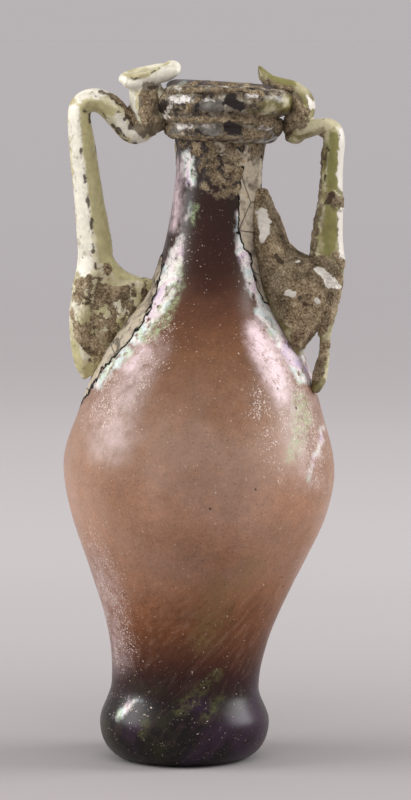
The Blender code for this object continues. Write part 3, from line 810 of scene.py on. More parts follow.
def dish(name, place, size, hollow, tilt, rise):
    """A shallow leaf of glass: a flattened ball whose top is pressed in, tipped and tilted."""
    only(None)
    bpy.ops.mesh.primitive_uv_sphere_add(segments=40, ring_count=32, radius=1.0)
    leaf = bpy.context.object
    leaf.scale = size
    bpy.ops.object.transform_apply(location=True, rotation=True, scale=True)
    for reach in DISH_RINGS:
        start_edit(leaf)
        bpy.ops.mesh.select_all(action="DESELECT")
        bpy.ops.object.mode_set(mode="OBJECT")
        for vertex, place_on in zip(leaf.data.vertices, points_of(leaf) / np.array(size)):
            vertex.select = place_on[2] > 0.0 and math.hypot(place_on[0], place_on[1]) < reach
        bpy.ops.object.mode_set(mode="EDIT")
        bpy.ops.transform.translate(value=(0.0, 0.0, -hollow / len(DISH_RINGS)))
        bpy.ops.object.mode_set(mode="OBJECT")
    start_edit(leaf)
    piece = end_edit(name)
    piece.rotation_euler = (tilt, rise, 0.0)
    piece.location = place
    bpy.ops.object.transform_apply(location=True, rotation=True, scale=True)
    return piece


def turn_about_axis(pieces, angle):
    """Turns pieces modelled in the XZ plane to the direction that they face."""
    for piece in pieces:
        only(piece)
        piece.rotation_euler = (0.0, 0.0, angle)
        bpy.ops.object.transform_apply(location=True, rotation=True, scale=True)


def apply_all(piece):
    only(piece)
    for modifier in list(piece.modifiers):
        bpy.ops.object.modifier_apply(modifier=modifier.name)


def fused(name, pieces, grain, smoothing=6):
    """Joins pieces and melts them into one skin."""
    only(pieces[0])
    for piece in pieces[1:]:
        piece.select_set(True)
    bpy.ops.object.join()
    piece = bpy.context.object
    piece.name = piece.data.name = name
    remesh = piece.modifiers.new("melt together", "REMESH")
    remesh.mode = "VOXEL"
    remesh.voxel_size = grain
    smooth = piece.modifiers.new("soften joints", "SMOOTH")
    smooth.factor = 0.5
    smooth.iterations = smoothing
    apply_all(piece)
    return piece


def seen_from_front(places, stage):
    """Pixel columns and rows at which points show in the 411 x 800 view from the front."""
    closeness = stage.camera_distance / (stage.camera_distance + places[:, 1])
    across = (places[:, 0] - stage.aim_across) * closeness
    # The camera looks slightly down, so heights are taken on the plane through the flask's axis
    height = stage.camera_height + (places[:, 2] - stage.camera_height) * closeness
    columns = VIEW_WIDTH / 2 + across / stage.view_step
    rows = VIEW_HEIGHT / 2 - (height - stage.aim_height) / stage.view_step
    return columns, rows


def covered(columns, rows, dabs):
    """How deep each pixel place lies inside one stroke, a run of (column, row, radius)."""
    cover = np.full(len(columns), NO_STROKE)
    for (x0, y0, r0), (x1, y1, r1) in list(zip(dabs, dabs[1:])) or [(dabs[0], dabs[0])]:
        run = np.array((x1 - x0, y1 - y0), float)
        share = ((columns - x0) * run[0] + (rows - y0) * run[1]) / max(run @ run, 1e-9)
        share = np.clip(share, 0.0, 1.0)
        away = np.hypot(columns - x0 - run[0] * share, rows - y0 - run[1] * share)
        cover = np.maximum(cover, blend(r0, r1, share) - away)
    return cover


def brushed(places, strokes, stage):
    """How deep each point lies inside a mark's strokes, in pixels of the front view."""
    columns, rows = seen_from_front(places, stage)
    behind = places[:, 1] / stage.view_step
    hidden = {"front": np.maximum(behind, 0.0), "back": np.maximum(-behind, 0.0), "round": 0.0}
    depth = np.full(len(places), NO_STROKE)
    for side, runs in strokes.items():
        for dabs in runs:
            depth = np.maximum(depth, covered(columns, rows, dabs) - SIDE_FADE * hidden[side])
    return depth


def ragged(places, depth, size, amount):
    """The depth with its edge made uneven, at a size in metres and by an amount in pixels."""
    wobble = [noise.fractal(Vector(place) / size, 0.9, 2.0, 3) for place in places]
    return depth + amount * np.array(wobble)


def store(piece, name, values):
    """Keeps a value for each point, which the piece's material reads."""
    attribute = piece.data.attributes.new(name, "FLOAT", "POINT")
    attribute.data.foreach_set("value", np.clip(values, -DEPTH_LIMIT, DEPTH_LIMIT).astype(np.float32))


def weights(piece, name, values):
    group = piece.vertex_groups.new(name=name)
    levels = np.round(np.clip(values, 0.0, 1.0) * WEIGHT_STEPS) / WEIGHT_STEPS
    for level in np.unique(levels[levels > 0.0]):
        group.add(np.nonzero(levels == level)[0].tolist(), float(level), "REPLACE")
    return group.name


def lifted(piece, name, strength, size=None, group="", depth=2):
    """Lifts the skin, evenly or by a cloudy pattern of that size in metres."""
    modifier = piece.modifiers.new(name, "DISPLACE")
    modifier.strength = strength
    modifier.mid_level = 0.0
    if size:
        texture = bpy.data.textures.new(name, "CLOUDS")
        texture.noise_scale = size
        texture.noise_depth = depth
        modifier.texture = texture
        modifier.mid_level = 0.5
    if group:
        modifier.vertex_group = group


def place_piece(piece, node, material):
    """Gives a finished piece its material and its body, and hides the solid that it stands for."""
    piece.data.materials.clear()
    piece.data.materials.append(material)
    for polygon in piece.data.polygons:
        polygon.use_smooth = True
    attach(piece, "root")
    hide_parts(node)


class Nodes:
    """Adds nodes to a shader tree. A value is a number, a colour or another node's output."""

    def __init__(self, tree):
        self.tree = tree

    def add(self, kind, values=None, output=0, **settings):
        node = self.tree.nodes.new("ShaderNode" + kind)
        for name, value in settings.items():
            setattr(node, name, value)
        for name, value in (values or {}).items():
            socket = node.inputs[name]
            if isinstance(value, bpy.types.NodeSocket):
                self.tree.links.new(value, socket)
            elif socket.type == "RGBA" and len(value) == 3:
                socket.default_value = (*value, 1.0)
            else:
                socket.default_value = value
        return node.outputs[output]

    def sums(self, operation, first, second=0.0):
        return self.add("Math", {0: first, 1: second}, operation=operation)

    def times(self, first, second):
        return self.sums("MULTIPLY", first, second)

    def plus(self, first, second):
        return self.sums("ADD", first, second)

    def mix(self, share, under, over, kind="MIX"):
        return self.add("Mix", {0: share, 6: under, 7: over}, 2, data_type="RGBA", blend_type=kind)

    def darkened(self, shade, brightness):
        """A colour times a brightness."""
        grey = self.add("CombineColor", {0: brightness, 1: brightness, 2: brightness})
        return self.mix(1.0, shade, grey, "MULTIPLY")

    def lerp(self, share, start, end):
        return self.add("Mix", {0: share, 2: start, 3: end})

    def part_of(self, vector, axis):
        """One coordinate of a vector: 0 is across, 1 is back and 2 is up."""
        return self.add("SeparateXYZ", {0: vector}, axis)

    def noise(self, vector, scale, detail=4.0, roughness=0.6, distortion=0.0):
        return self.add("TexNoise", {
            "Vector": vector, "Scale": scale, "Detail": detail, "Roughness": roughness,
            "Distortion": distortion,
        })

    def fit(self, value, low, high, new_low=0.0, new_high=1.0):
        return self.add("MapRange", {
            "Value": value, "From Min": low, "From Max": high, "To Min": new_low, "To Max": new_high,
        }, interpolation_type="SMOOTHSTEP")

    def ramp(self, value, stops):
        socket = self.add("ValToRGB", {0: value})
        elements = socket.node.color_ramp.elements
        while len(elements) < len(stops):
            elements.new(0.5)
        for element, (position, shade) in zip(elements, stops):
            element.position = position
            element.color = (*shade, 1.0)
        return socket

    def place(self, group, values):
        node = self.tree.nodes.new("ShaderNodeGroup")
        node.node_tree = group
        for name, value in values.items():
            if isinstance(value, bpy.types.NodeSocket):
                self.tree.links.new(value, node.inputs[name])
            else:
                node.inputs[name].default_value = value
        return node.outputs


def shared(name, inputs, outputs, build):
    """A node group that several materials use, built once."""
    tree = bpy.data.node_groups.get(name)
    if tree:
        return tree
    tree = bpy.data.node_groups.new(name, "ShaderNodeTree")
    for title, kind, value in inputs:
        socket = tree.interface.new_socket(title, in_out="INPUT", socket_type="NodeSocket" + kind)
        if value is not None:
            socket.default_value = value
    for title, kind in outputs:
        tree.interface.new_socket(title, in_out="OUTPUT", socket_type="NodeSocket" + kind)
    nodes = Nodes(tree)
    results = build(nodes, tree.nodes.new("NodeGroupInput").outputs)
    ends = tree.nodes.new("NodeGroupOutput").inputs
    for title, _ in outputs:
        tree.links.new(results[title], ends[title])
    return tree


def mark_edge_group():
    """Turns a mark's depth in pixels into a mask with a torn edge, and a thin line along that edge."""

    def build(nodes, given):
        wobble = nodes.noise(given["Vector"], given["Scale"], 5.0, 0.65)
        wobble = nodes.times(nodes.sums("SUBTRACT", wobble, 0.5), given["Raggedness"])
        depth = nodes.plus(given["Depth"], wobble)
        low = nodes.times(given["Softness"], -1.0)
        line = nodes.fit(nodes.sums("ABSOLUTE", depth), 0.3, 1.05, 1.0, 0.0)
        return {"Mask": nodes.fit(depth, low, given["Softness"]), "Line": line}

    return shared(
        "torn mark edge",
        (("Depth", "Float", 0.0), ("Vector", "Vector", None), ("Scale", "Float", 900.0),
         ("Raggedness", "Float", 4.0), ("Softness", "Float", 1.0)),
        (("Mask", "Float"), ("Line", "Float")), build,
    )


def burial_soil_group():
    """Granular tan and brown earth: colour and height."""

    def build(nodes, given):
        coarse = nodes.noise(given["Vector"], 420.0, 6.0, 0.68)
        fine = nodes.noise(given["Vector"], 2600.0, 3.0, 0.6)
        grains = nodes.add("TexVoronoi", {"Vector": given["Vector"], "Scale": 1700.0})
        shade = nodes.ramp(nodes.plus(nodes.times(coarse, 0.5), nodes.times(fine, 0.5)), (
            (0.36, tone(62, 52, 41)), (0.44, tone(106, 90, 69)), (0.51, tone(144, 126, 99)),
            (0.58, tone(174, 157, 129)), (0.68, tone(202, 190, 165)),
        ))
        patch = nodes.fit(nodes.noise(given["Vector"], 75.0, 3.0), 0.38, 0.58, 0.68, 1.12)
        height = nodes.plus(nodes.times(coarse, 1.2), nodes.times(grains, -0.35))
        height = nodes.plus(height, nodes.times(fine, 0.5))
        return {"Color": nodes.darkened(shade, patch), "Height": height}

    return shared(
        "burial soil", (("Vector", "Vector", None),), (("Color", "Color"), ("Height", "Float")), build
    )


def film_group():
    """The pearly film of weathered glass, in bands of lavender, pink, pearl, blue and green."""

    def build(nodes, given):
        bands = nodes.noise(given["Vector"], given["Scale"], 3.0, 0.55, 1.2)
        shade = nodes.ramp(bands, (
            (0.32, tone(204, 188, 214)), (0.40, tone(232, 212, 220)), (0.47, tone(244, 241, 234)),
            (0.53, tone(214, 228, 228)), (0.58, tone(200, 222, 192)), (0.64, tone(240, 238, 228)),
        ))
        return {"Color": shade}

    return shared(
        "pearly film", (("Vector", "Vector", None), ("Scale", "Float", 160.0)), (("Color", "Color"),), build
    )


def specks_group():
    """Small scattered specks: a mask whose share of the surface grows with Amount."""

    def build(nodes, given):
        value = nodes.noise(given["Vector"], given["Scale"], 2.0, 0.5)
        edge = nodes.sums("SUBTRACT", 0.78, nodes.times(given["Amount"], 0.22))
        return {"Mask": nodes.fit(value, edge, nodes.plus(edge, 0.05))}

    return shared(
        "scattered specks",
        (("Vector", "Vector", None), ("Scale", "Float", 1800.0), ("Amount", "Float", 0.3)),
        (("Mask", "Float"),), build,
    )


class Skin:
    """A glass material built up in layers of colour, roughness and height over one base."""

    def __init__(self, name, base, roughness, transmission=0.0, reflection=0.42):
        self.material = bpy.data.materials.new(name)
        self.material.use_nodes = True
        self.nodes = Nodes(self.material.node_tree)
        self.shader = self.material.node_tree.nodes["Principled BSDF"]
        self.shader.inputs["Transmission Weight"].default_value = transmission
        self.shader.inputs["IOR"].default_value = 1.5
        self.shader.inputs["Specular IOR Level"].default_value = reflection
        self.place_on = self.nodes.add("TexCoord", output=3)
        self.shade = base(self) if callable(base) else base
        self.roughness = roughness
        self.height = 0.0

    def cloud(self, scale, detail=4.0, roughness=0.6):
        return self.nodes.noise(self.place_on, scale, detail, roughness)

    def mark(self, name, scale=900.0, raggedness=4.0, softness=1.0):
        """Mask and edge line of a mark that is stored on the piece."""
        depth = self.nodes.add("Attribute", output=2, attribute_name=name)
        return self.nodes.place(mark_edge_group(), {
            "Depth": depth, "Vector": self.place_on, "Scale": scale,
            "Raggedness": raggedness, "Softness": softness,
        })

    def specks(self, scale, amount):
        return self.nodes.place(specks_group(), {
            "Vector": self.place_on, "Scale": scale, "Amount": amount,
        })[0]

    def broken(self, mask, scale, low, high, strength=1.0):
        """A mask worn through in a cloudy pattern."""
        return self.nodes.times(mask, self.nodes.fit(self.cloud(scale, 5.0, 0.65), low, high, 0.0, strength))

    def coat(self, mask, shade, roughness=None, height=None, strength=None):
        """Lays a colour over what is there, with its own roughness and height."""
        if strength is not None:
            mask = self.nodes.times(mask, strength)
        self.shade = self.nodes.mix(mask, self.shade, shade)
        if roughness is not None:
            self.roughness = self.nodes.lerp(mask, self.roughness, roughness)
        if height is not None:
            self.height = self.nodes.plus(self.height, self.nodes.times(mask, height))

    def tint(self, darkest, lightest, scale, detail=3.0):
        """Darkens and lightens the colour in a fine cloudy pattern."""
        brightness = self.nodes.fit(self.cloud(scale, detail), 0.3, 0.7, darkest, lightest)
        self.shade = self.nodes.darkened(self.shade, brightness)

    def soil(self, mask, height=1.0):
        earth = self.nodes.place(burial_soil_group(), {"Vector": self.place_on})
        self.coat(mask, earth[0], 0.95, self.nodes.times(earth[1], height))

    def finish(self, bump_distance=0.0004, bump_strength=0.7):
        links = self.material.node_tree.links
        links.new(self.shade, self.shader.inputs["Base Color"])
        if isinstance(self.roughness, bpy.types.NodeSocket):
            links.new(self.roughness, self.shader.inputs["Roughness"])
        else:
            self.shader.inputs["Roughness"].default_value = self.roughness
        bump = self.nodes.add("Bump", {
            "Strength": bump_strength, "Distance": bump_distance, "Height": self.height,
        })
        links.new(bump, self.shader.inputs["Normal"])
        return self.material


def drawn_streaks(skin, rise):
    """Slanting streaks, light and dark, that blowing has drawn out in the lower body."""
    nodes = skin.nodes
    drawn = nodes.add("Mapping", {
        "Vector": skin.place_on, "Rotation": (0.0, 0.74, 0.0), "Scale": (1.0, 1.0, 7.0),
    }, vector_type="TEXTURE")
    streak = nodes.noise(drawn, 900.0, 6.0, 0.68)
    low = nodes.times(nodes.fit(rise, 0.058, 0.026), nodes.fit(rise, 0.012, 0.032, 0.22, 1.0))
    skin.coat(nodes.fit(streak, 0.48, 0.70, 0.0, 0.30), tone(176, 142, 122), 0.42, strength=low)
    skin.coat(nodes.fit(streak, 0.47, 0.34, 0.0, 0.30), tone(40, 22, 18), 0.42, strength=low)


def foot_sheen(skin, rise):
    """Clouds of violet and olive on the foot."""
    nodes = skin.nodes
    sheen = nodes.fit(rise, 0.022, 0.010)
    cloud = skin.cloud(60.0, 5.0, 0.65)
    skin.coat(nodes.fit(cloud, 0.50, 0.62, 0.0, 0.6), tone(56, 34, 58), strength=sheen)
    skin.coat(nodes.fit(cloud, 0.48, 0.36, 0.0, 0.6), tone(46, 46, 24), strength=sheen)


def weathering_films(skin, rise):
    """Haze on the flanks, partly a painted glow of the side lamps, a pale veil over the belly, and patches
    of ochre, pink, pearl and green film, where the pink and pearl are partly painted highlight.
    """
    nodes = skin.nodes
    # Haze on the flanks, partly a painted glow of the side lamps
    haze = skin.mark("haze", 300.0, 10.0, 16.0)[0]
    skin.coat(skin.broken(haze, 420.0, 0.24, 0.72, 0.6), tone(206, 184, 184))
    veil = nodes.fit(skin.cloud(55.0, 5.0, 0.62), 0.36, 0.64, 0.0, 0.30)
    veil = nodes.times(veil, nodes.fit(rise, 0.028, 0.05))
    skin.coat(veil, tone(186, 162, 152), strength=nodes.fit(rise, 0.086, 0.066))
    ochre = skin.mark("ochre", 260.0, 9.0, 10.0)[0]
    skin.coat(skin.broken(ochre, 900.0, 0.25, 0.70, 0.55), tone(140, 116, 72))
    # Pink film, partly painted highlight on the right shoulder
    pink = skin.mark("pink", 320.0, 10.0, 9.0)[0]
    skin.coat(skin.broken(pink, 800.0, 0.24, 0.56, 0.92), tone(244, 218, 224))
    film = nodes.place(film_group(), {"Vector": skin.place_on, "Scale": 95.0})[0]
    # Pearl film: partly painted highlight along the shoulders, and a painted glint on the foot
    pearl = skin.mark("pearl", 500.0, 9.0, 3.5)[0]
    pearl = skin.broken(skin.broken(pearl, 520.0, 0.32, 0.50), 2200.0, 0.18, 0.46, 1.0)
    skin.coat(pearl, film, 0.42, 0.25)
    green = skin.mark("green", 420.0, 9.0, 3.5)[0]
    green = skin.broken(skin.broken(green, 900.0, 0.36, 0.60), 2400.0, 0.30, 0.55)
    bright = nodes.fit(rise, 0.012, 0.05, 0.40, 0.66)
    olive = nodes.mix(nodes.fit(rise, 0.012, 0.05), tone(104, 108, 62), tone(172, 192, 142))
    skin.coat(green, olive, 0.4, strength=bright)


def frost_and_pits(skin, rise):
    """Fine pale dust and flecks, dark grains, and a few burst bubbles."""
    nodes = skin.nodes
    frost = skin.mark("frost", 200.0, 22.0, 16.0)[0]
    amount = nodes.times(frost, nodes.fit(skin.cloud(230.0, 5.0, 0.7), 0.32, 0.58))
    dust = skin.specks(2900.0, nodes.plus(nodes.times(amount, 0.85), 0.22))
    skin.coat(dust, tone(230, 208, 198), 0.5, 0.15, strength=0.66)
    everywhere = nodes.fit(rise, 0.05, 0.085, 0.38, 0.36)
    flecks = skin.specks(2200.0, nodes.plus(nodes.times(amount, 0.5), everywhere))
    skin.coat(flecks, tone(240, 222, 206), 0.4, 0.25, strength=0.70)
    grains = nodes.fit(skin.cloud(2900.0, 2.0, 0.5), 0.36, 0.30)
    skin.coat(grains, tone(74, 48, 36), 0.5, strength=0.5)
    pits = nodes.add("TexVoronoi", {"Vector": skin.place_on, "Scale": 210.0})
    some = nodes.fit(skin.cloud(120.0, 2.0), 0.50, 0.56)
    skin.coat(nodes.fit(pits, 0.03, 0.07, 0.8, 0.0), tone(66, 44, 34), 0.7, -0.8, strength=some)


def cracked_crust(skin):
    """The pale crust: its own shades, cracks through it and a dark line along its broken edge, which is
    painted shadow under the lifted edge.
    """
    nodes = skin.nodes
    crust = skin.mark("crust", 700.0, 3.0, 0.5)
    shade = nodes.ramp(skin.cloud(380.0, 6.0, 0.7), (
        (0.36, tone(106, 97, 84)), (0.45, tone(160, 148, 129)),
        (0.54, tone(196, 185, 165)), (0.66, tone(176, 155, 122)),
    ))
    skin.coat(crust[0], shade, 0.9, nodes.plus(0.5, skin.cloud(900.0, 5.0, 0.7)))
    cells = nodes.add(
        "TexVoronoi", {"Vector": skin.place_on, "Scale": 105.0}, feature="DISTANCE_TO_EDGE"
    )
    cracks = nodes.times(nodes.fit(cells, 0.004, 0.018, 1.0, 0.0), crust[0])
    skin.coat(cracks, tone(34, 30, 27), 0.9, -1.0, strength=0.7)
    # Painted shadow along the crust's lifted broken edge
    skin.coat(crust[1], tone(16, 14, 14), 0.9, -1.0)


def flask_material():
    """Purple-brown glass, dark where it is thick and pale with a painted glow over the thin belly, with
    film, weathering crust and soil, and painted highlights and glow on the shoulders, flanks and foot.
    """

    def base(skin):
        height = skin.nodes.part_of(skin.place_on, 2)
        # Colour by height, with a painted glow of light through the thin belly
        return skin.nodes.ramp(skin.nodes.sums("DIVIDE", height, SHADED_HEIGHT), FLASK_SHADES_AND_GLOW)

    skin = Skin("purple brown glass", base, 0.34, 0.06, 0.32)
    rise = skin.nodes.part_of(skin.place_on, 2)
    skin.tint(0.84, 1.12, 60.0)
    skin.tint(0.91, 1.08, 420.0, 5.0)
    skin.tint(0.87, 1.13, 1900.0)
    drawn_streaks(skin, rise)
    skin.coat(skin.mark("dark", 260.0, 10.0, 9.0)[0], tone(60, 28, 24), strength=0.4)
    foot_sheen(skin, rise)
    weathering_films(skin, rise)
    frost_and_pits(skin, rise)
    cracked_crust(skin)
    skin.soil(skin.broken(skin.mark("soil", 600.0, 9.0, 1.5)[0], 460.0, 0.40, 0.50))
    return skin.finish()


def coil_material():
    """Green glass trail, mottled with silvery film that is partly painted highlight, dark pitting and packed
    soil.
    """

    def base(skin):
        return skin.nodes.ramp(skin.cloud(480.0, 6.0, 0.72), (
            (0.38, tone(36, 30, 28)), (0.45, tone(66, 57, 48)), (0.50, tone(118, 102, 80)),
            (0.55, tone(132, 127, 112)), (0.61, tone(164, 154, 136)), (0.67, tone(208, 200, 186)),
        ))

    skin = Skin("weathered green glass", base, 0.26, 0.10)
    cream = skin.nodes.ramp(skin.cloud(260.0, 3.0), (
        (0.40, tone(78, 72, 40)), (0.50, tone(120, 112, 72)), (0.60, tone(186, 178, 144)),
    ))
    skin.coat(skin.mark("cream", 500.0, 6.0, 2.5)[0], cream, 0.24, strength=0.9)
    grey = skin.nodes.ramp(skin.cloud(700.0, 4.0, 0.7), (
        (0.38, tone(92, 86, 78)), (0.50, tone(116, 113, 104)), (0.62, tone(140, 137, 128)),
    ))
    skin.coat(skin.mark("grey", 600.0, 8.0, 1.0)[0], grey, 0.26)
    # Silvery film, partly painted highlight on the turns
    silver = skin.nodes.ramp(skin.cloud(900.0, 4.0, 0.7), (
        (0.38, tone(120, 110, 98)), (0.47, tone(172, 164, 155)), (0.56, tone(222, 217, 211)),
    ))
    skin.coat(skin.mark("silver", 650.0, 8.0, 0.8)[0], silver, 0.3, 0.3, strength=0.95)
    skin.coat(skin.mark("dark", 650.0, 9.0, 1.0)[0], tone(38, 31, 27), 0.34, -0.2)
    skin.soil(skin.mark("soil", 700.0, 9.0, 1.0)[0])
    skin.soil(skin.nodes.fit(skin.cloud(300.0, 6.0, 0.7), 0.62, 0.65), 0.6)
    return skin.finish()


def handle_material(name, stops, layers, worn):
    """Weathered handle glass: a cloudy base, then marks in order of (name, colour, strength, roughness).

    The soil is worn through in patches: their scale, and how much is worn.
    """

    def base(skin):
        return skin.nodes.ramp(skin.cloud(240.0, 5.0), stops)

    skin = Skin(name, base, 0.26, 0.09)
    for mark, shade, strength, roughness in layers:
        skin.coat(skin.mark(mark, 600.0, 4.0, 1.2)[0], shade, roughness, strength=strength)
    skin.tint(0.86, 1.08, 700.0)
    grime = skin.nodes.fit(skin.cloud(420.0, 6.0, 0.72), 0.55, 0.66, 0.0, 0.5)
    skin.coat(grime, tone(122, 104, 74), 0.6)
    skin.coat(skin.specks(1300.0, 0.35), tone(84, 68, 50), 0.8, -0.5, strength=0.7)
    soil = skin.mark("soil", 600.0, 8.0, 1.2)[0]
    skin.soil(skin.broken(soil, worn[0], worn[1], worn[1] + 0.05))
    # Pale film, which down the right strap's edge is a painted highlight
    if "white" in (layer[0] for layer in layers):
        skin.coat(skin.mark("white", 700.0, 5.0, 0.6)[0], tone(222, 216, 204), 0.35, 0.2, strength=0.95)
    skin.coat(skin.mark("dark", 900.0, 3.6, 0.8)[0], tone(66, 52, 38), 0.8, -0.6, strength=0.9)
    return skin.finish()


def floor_material(stage):
    """Matt paper, with painted shade round the flask and in the lamps' pools and painted light farther out,
    so that it fades into the air far off.
    """
    skin = Skin("floor paper", tuple(stage.floor_colour), 0.9)
    nodes = skin.nodes

    def reach(vector):
        return nodes.add("VectorMath", {0: vector}, 1, operation="LENGTH")

    away = reach(skin.place_on)
    fade = nodes.ramp(nodes.sums("DIVIDE", away, nodes.plus(away, stage.camera_distance)), FLOOR_FADE)
    across = nodes.sums("ABSOLUTE", nodes.part_of(skin.place_on, 0))
    depth = nodes.part_of(skin.place_on, 1)
    pool = reach(nodes.add("CombineXYZ", {0: nodes.sums("SUBTRACT", across, LAMP_POOL), 1: depth}))
    # Painted shade that damps the lamps' pools of light on the floor
    fade = nodes.darkened(fade, nodes.fit(pool, 0.05, 0.50, 0.64, 1.0))
    skin.shade = nodes.mix(1.0, tuple(stage.floor_colour), fade, "MULTIPLY")
    return skin.finish()


def marked(piece, marks, stage, soil_lift, plain=None):
    """Stores every mark on the piece, and raises its soil and crust off the glass.

    Points listed in plain stay clean.
    """
    places = points_of(piece)
    for name, strokes in marks.items():
        depth = brushed(places, strokes, stage)
        if plain is not None:
            depth[plain] = -DEPTH_LIMIT
        near = np.nonzero(depth > EDGE_FROM)[0]
        depth[near] = ragged(places[near], depth[near], EDGE_SIZE, EDGE_AMOUNT)
        store(piece, name, depth)
        if name in ("soil", "crust"):
            group = weights(piece, name + " cover", depth / 3.0 + 0.5)
            lifted(piece, name + " thickness", 0.4 * soil_lift, group=group)
            lifted(piece, name + " grit", soil_lift, size=0.0011, group=group, depth=3)
            lifted(piece, name + " clumps", soil_lift, size=0.0032, group=group)
    apply_all(piece)
    piece.vertex_groups.clear()


def inner_points(flask, upright):
    """Points of the upright flask that lie on the wall of its hollow, which stays clean."""
    lowest, lip = 0.9 * flask.floor_thickness, Heights(flask).lip
    return [
        index for index, (x, y, height) in enumerate(upright)
        if lowest < height < lip and math.hypot(x, y) < flask_radius(flask, height) - flask.body_wall / 2
    ]


class GLASS_OT_flask(bpy.types.Operator):
    """Blow the flask: one hollow vessel of purple-brown glass with a leaning body."""

    bl_idname = "glass_flask.flask"
    bl_label = "Flask"

    def execute(self, context):
        flask = context.scene.flask_sizes
        piece = turned("flask_glass", flask_profile(flask), flask.segments)
        upright = points_of(piece)
        inner_wall = inner_points(flask, upright)
        put_points(piece, leaned(upright, flask))
        lifted(piece, "blown waviness", strength=0.0004, size=0.016)
        apply_all(piece)
        marked(piece, FLASK_MARKS, context.scene.stage_sizes, SOIL_LIFT["flask"], inner_wall)
        # The underside stays flat, so that the flask stands on it
        places = points_of(piece)
        places[:, 2] = np.maximum(places[:, 2], 0.0)
        put_points(piece, places)
        place_piece(piece, "flask", flask_material())
        return {"FINISHED"}


def coil_rows(coil, flask):
    """Middle angle, reach, height and half thickness of the coil, from its start to its end."""
    at = Heights(flask)
    count = round(coil.turns * COIL_SECTIONS)
    rows = []
    for index in range(count + 1):
        share = index / count
        climbing = ease(between(share, *COIL_CLIMB))
        thickness = blend(coil.low_thickness, coil.high_thickness, climbing)
        thickness = blend(thickness, coil.end_thickness, ease(between(share, *COIL_KNOB)))
        height = at.rim - blend(coil.low_drop, coil.high_drop, climbing)
        height += coil.end_lift * ease(between(share, *COIL_RISE))
        reach = flask_radius(flask, height) + thickness / 2 - coil.sink
        reach += coil.end_flare * ease(between(share, *COIL_FLARE))
        angle = coil.end_angle - 2.0 * math.pi * coil.turns * (1.0 - share)
        rows.append((angle, reach, height, thickness / 2))
    return rows


def wound(name, rows, sides):
    """A rod wound round the axis: angle, reach, height and half thickness, with round ends."""
    caps = [math.radians(degrees) for degrees in (80.0, 62.0, 42.0, 22.0)]
    run = [(rows[0], -math.sin(angle), math.cos(angle)) for angle in caps]
    run += [(row, 0.0, 1.0) for row in rows]
    run += [(rows[-1], math.sin(angle), math.cos(angle)) for angle in reversed(caps)]
    sections = []
    for (angle, reach, height, half), ahead, shrink in run:
        middle = Vector((math.cos(angle), math.sin(angle), 0.0)) * reach
        along = Vector((-math.sin(angle), math.cos(angle), 0.0)) * (half * ahead)
        sections.append((middle + along + Vector((0.0, 0.0, height)), half * shrink, angle))
    middle, radius, angle = sections[0]
    only(None)
    bpy.ops.mesh.primitive_circle_add(
        vertices=sides, radius=radius, fill_type="NGON", location=middle, rotation=(math.pi / 2, 0.0, angle)
    )
    bpy.ops.object.transform_apply(location=True, rotation=True, scale=True)
    start_edit(bpy.context.object, "FACE")
    for (last_middle, last_radius, last_angle), (middle, radius, angle) in zip(sections, sections[1:]):
        bpy.ops.mesh.extrude_region_move(TRANSFORM_OT_translate={"value": middle - last_middle})
        bpy.ops.transform.rotate(
            value=last_angle - angle, orient_axis="Z", orient_type="GLOBAL", center_override=middle
        )
        size = radius / last_radius
        bpy.ops.transform.resize(value=(size, size, size), center_override=middle)
    return end_edit(name)


class GLASS_OT_coil(bpy.types.Operator):
    """Wind the coil: one thick trail of weathered green glass round the rim, ending in a knob."""

    bl_idname = "glass_flask.coil"
    bl_label = "Rim coil"

    def execute(self, context):
        flask, coil = context.scene.flask_sizes, context.scene.coil_sizes
        at = Heights(flask)
        parts = [wound("trail", coil_rows(coil, flask), COIL_SIDES)]
        for name, bends in WINDINGS.items():
            rows = [
                (math.radians(angle), flask.rim_radius + out / 1e3, at.rim - drop / 1e3, half / 1e3)
                for angle, out, drop, half in smooth_rows(bends, WINDING_SECTIONS)
            ]
            parts.append(wound(name, rows, WINDING_SIDES))
        piece = fused("rim_coil_glass", parts, context.scene.handle_sizes.grain)
        put_points(piece, leaned(points_of(piece), flask))
        lifted(piece, "hand-wound waviness", strength=0.0004, size=0.0045)
        apply_all(piece)
        marked(piece, COIL_MARKS, context.scene.stage_sizes, SOIL_LIFT["coil"])
        place_piece(piece, "rim_coil", coil_material())
        return {"FINISHED"}


def handle_rows(line, flask, coil, width, depth, strap_reach, tip_height):
    """A handle's line in real sizes: reach, height, half width and half depth."""
    at = Heights(flask)
    coil_out = flask_radius(flask, at.rim - coil.high_drop) + coil.high_thickness - coil.sink
    limb = coil_out + width / 2
    rows = []
    for out, drop, share in line:
        rows.append((
            blend(limb, strap_reach, out), blend(at.rim, tip_height, drop), width / 2 * share,
            depth / 2 * min(share, DEEPEST_ROD),
        ))
    return smooth_rows(rows, ROWS_PER_SPAN)


def round_ends(rows):
    """Adds a half-round end to both ends of a rod's rows."""

    def end(row, beyond):
        run = Vector((row[0] - beyond[0], row[1] - beyond[1])).normalized()
        reach = min(row[2], row[3])
        caps = []
        for degrees in (25.0, 45.0, 62.0, 80.0):
            angle = math.radians(degrees)
            shrink, ahead = math.cos(angle), reach * math.sin(angle)
            caps.append((row[0] + run.x * ahead, row[1] + run.y * ahead, row[2] * shrink, row[3] * shrink))
        return caps

    return [*reversed(end(rows[0], rows[1])), *rows, *end(rows[-1], rows[-2])]


def lumps(table, limb, rim):
    """The lumps of a handle whose limb stands at that reach, under a rim at that height."""
    return [
        lump((limb + place[0], place[1], rim + place[2]), size, math.radians(degrees))
        for place, size, degrees in table.values()
    ]


def reach_at(rows, height):
    """Reach of the strap's line where its last downward run passes a height."""
    for high, low in zip(reversed(rows[:-1]), reversed(rows[1:])):
        if low[1] <= height <= high[1]:
            return blend(low[0], high[0], between(height, low[1], high[1]))
    return rows[-1][0]


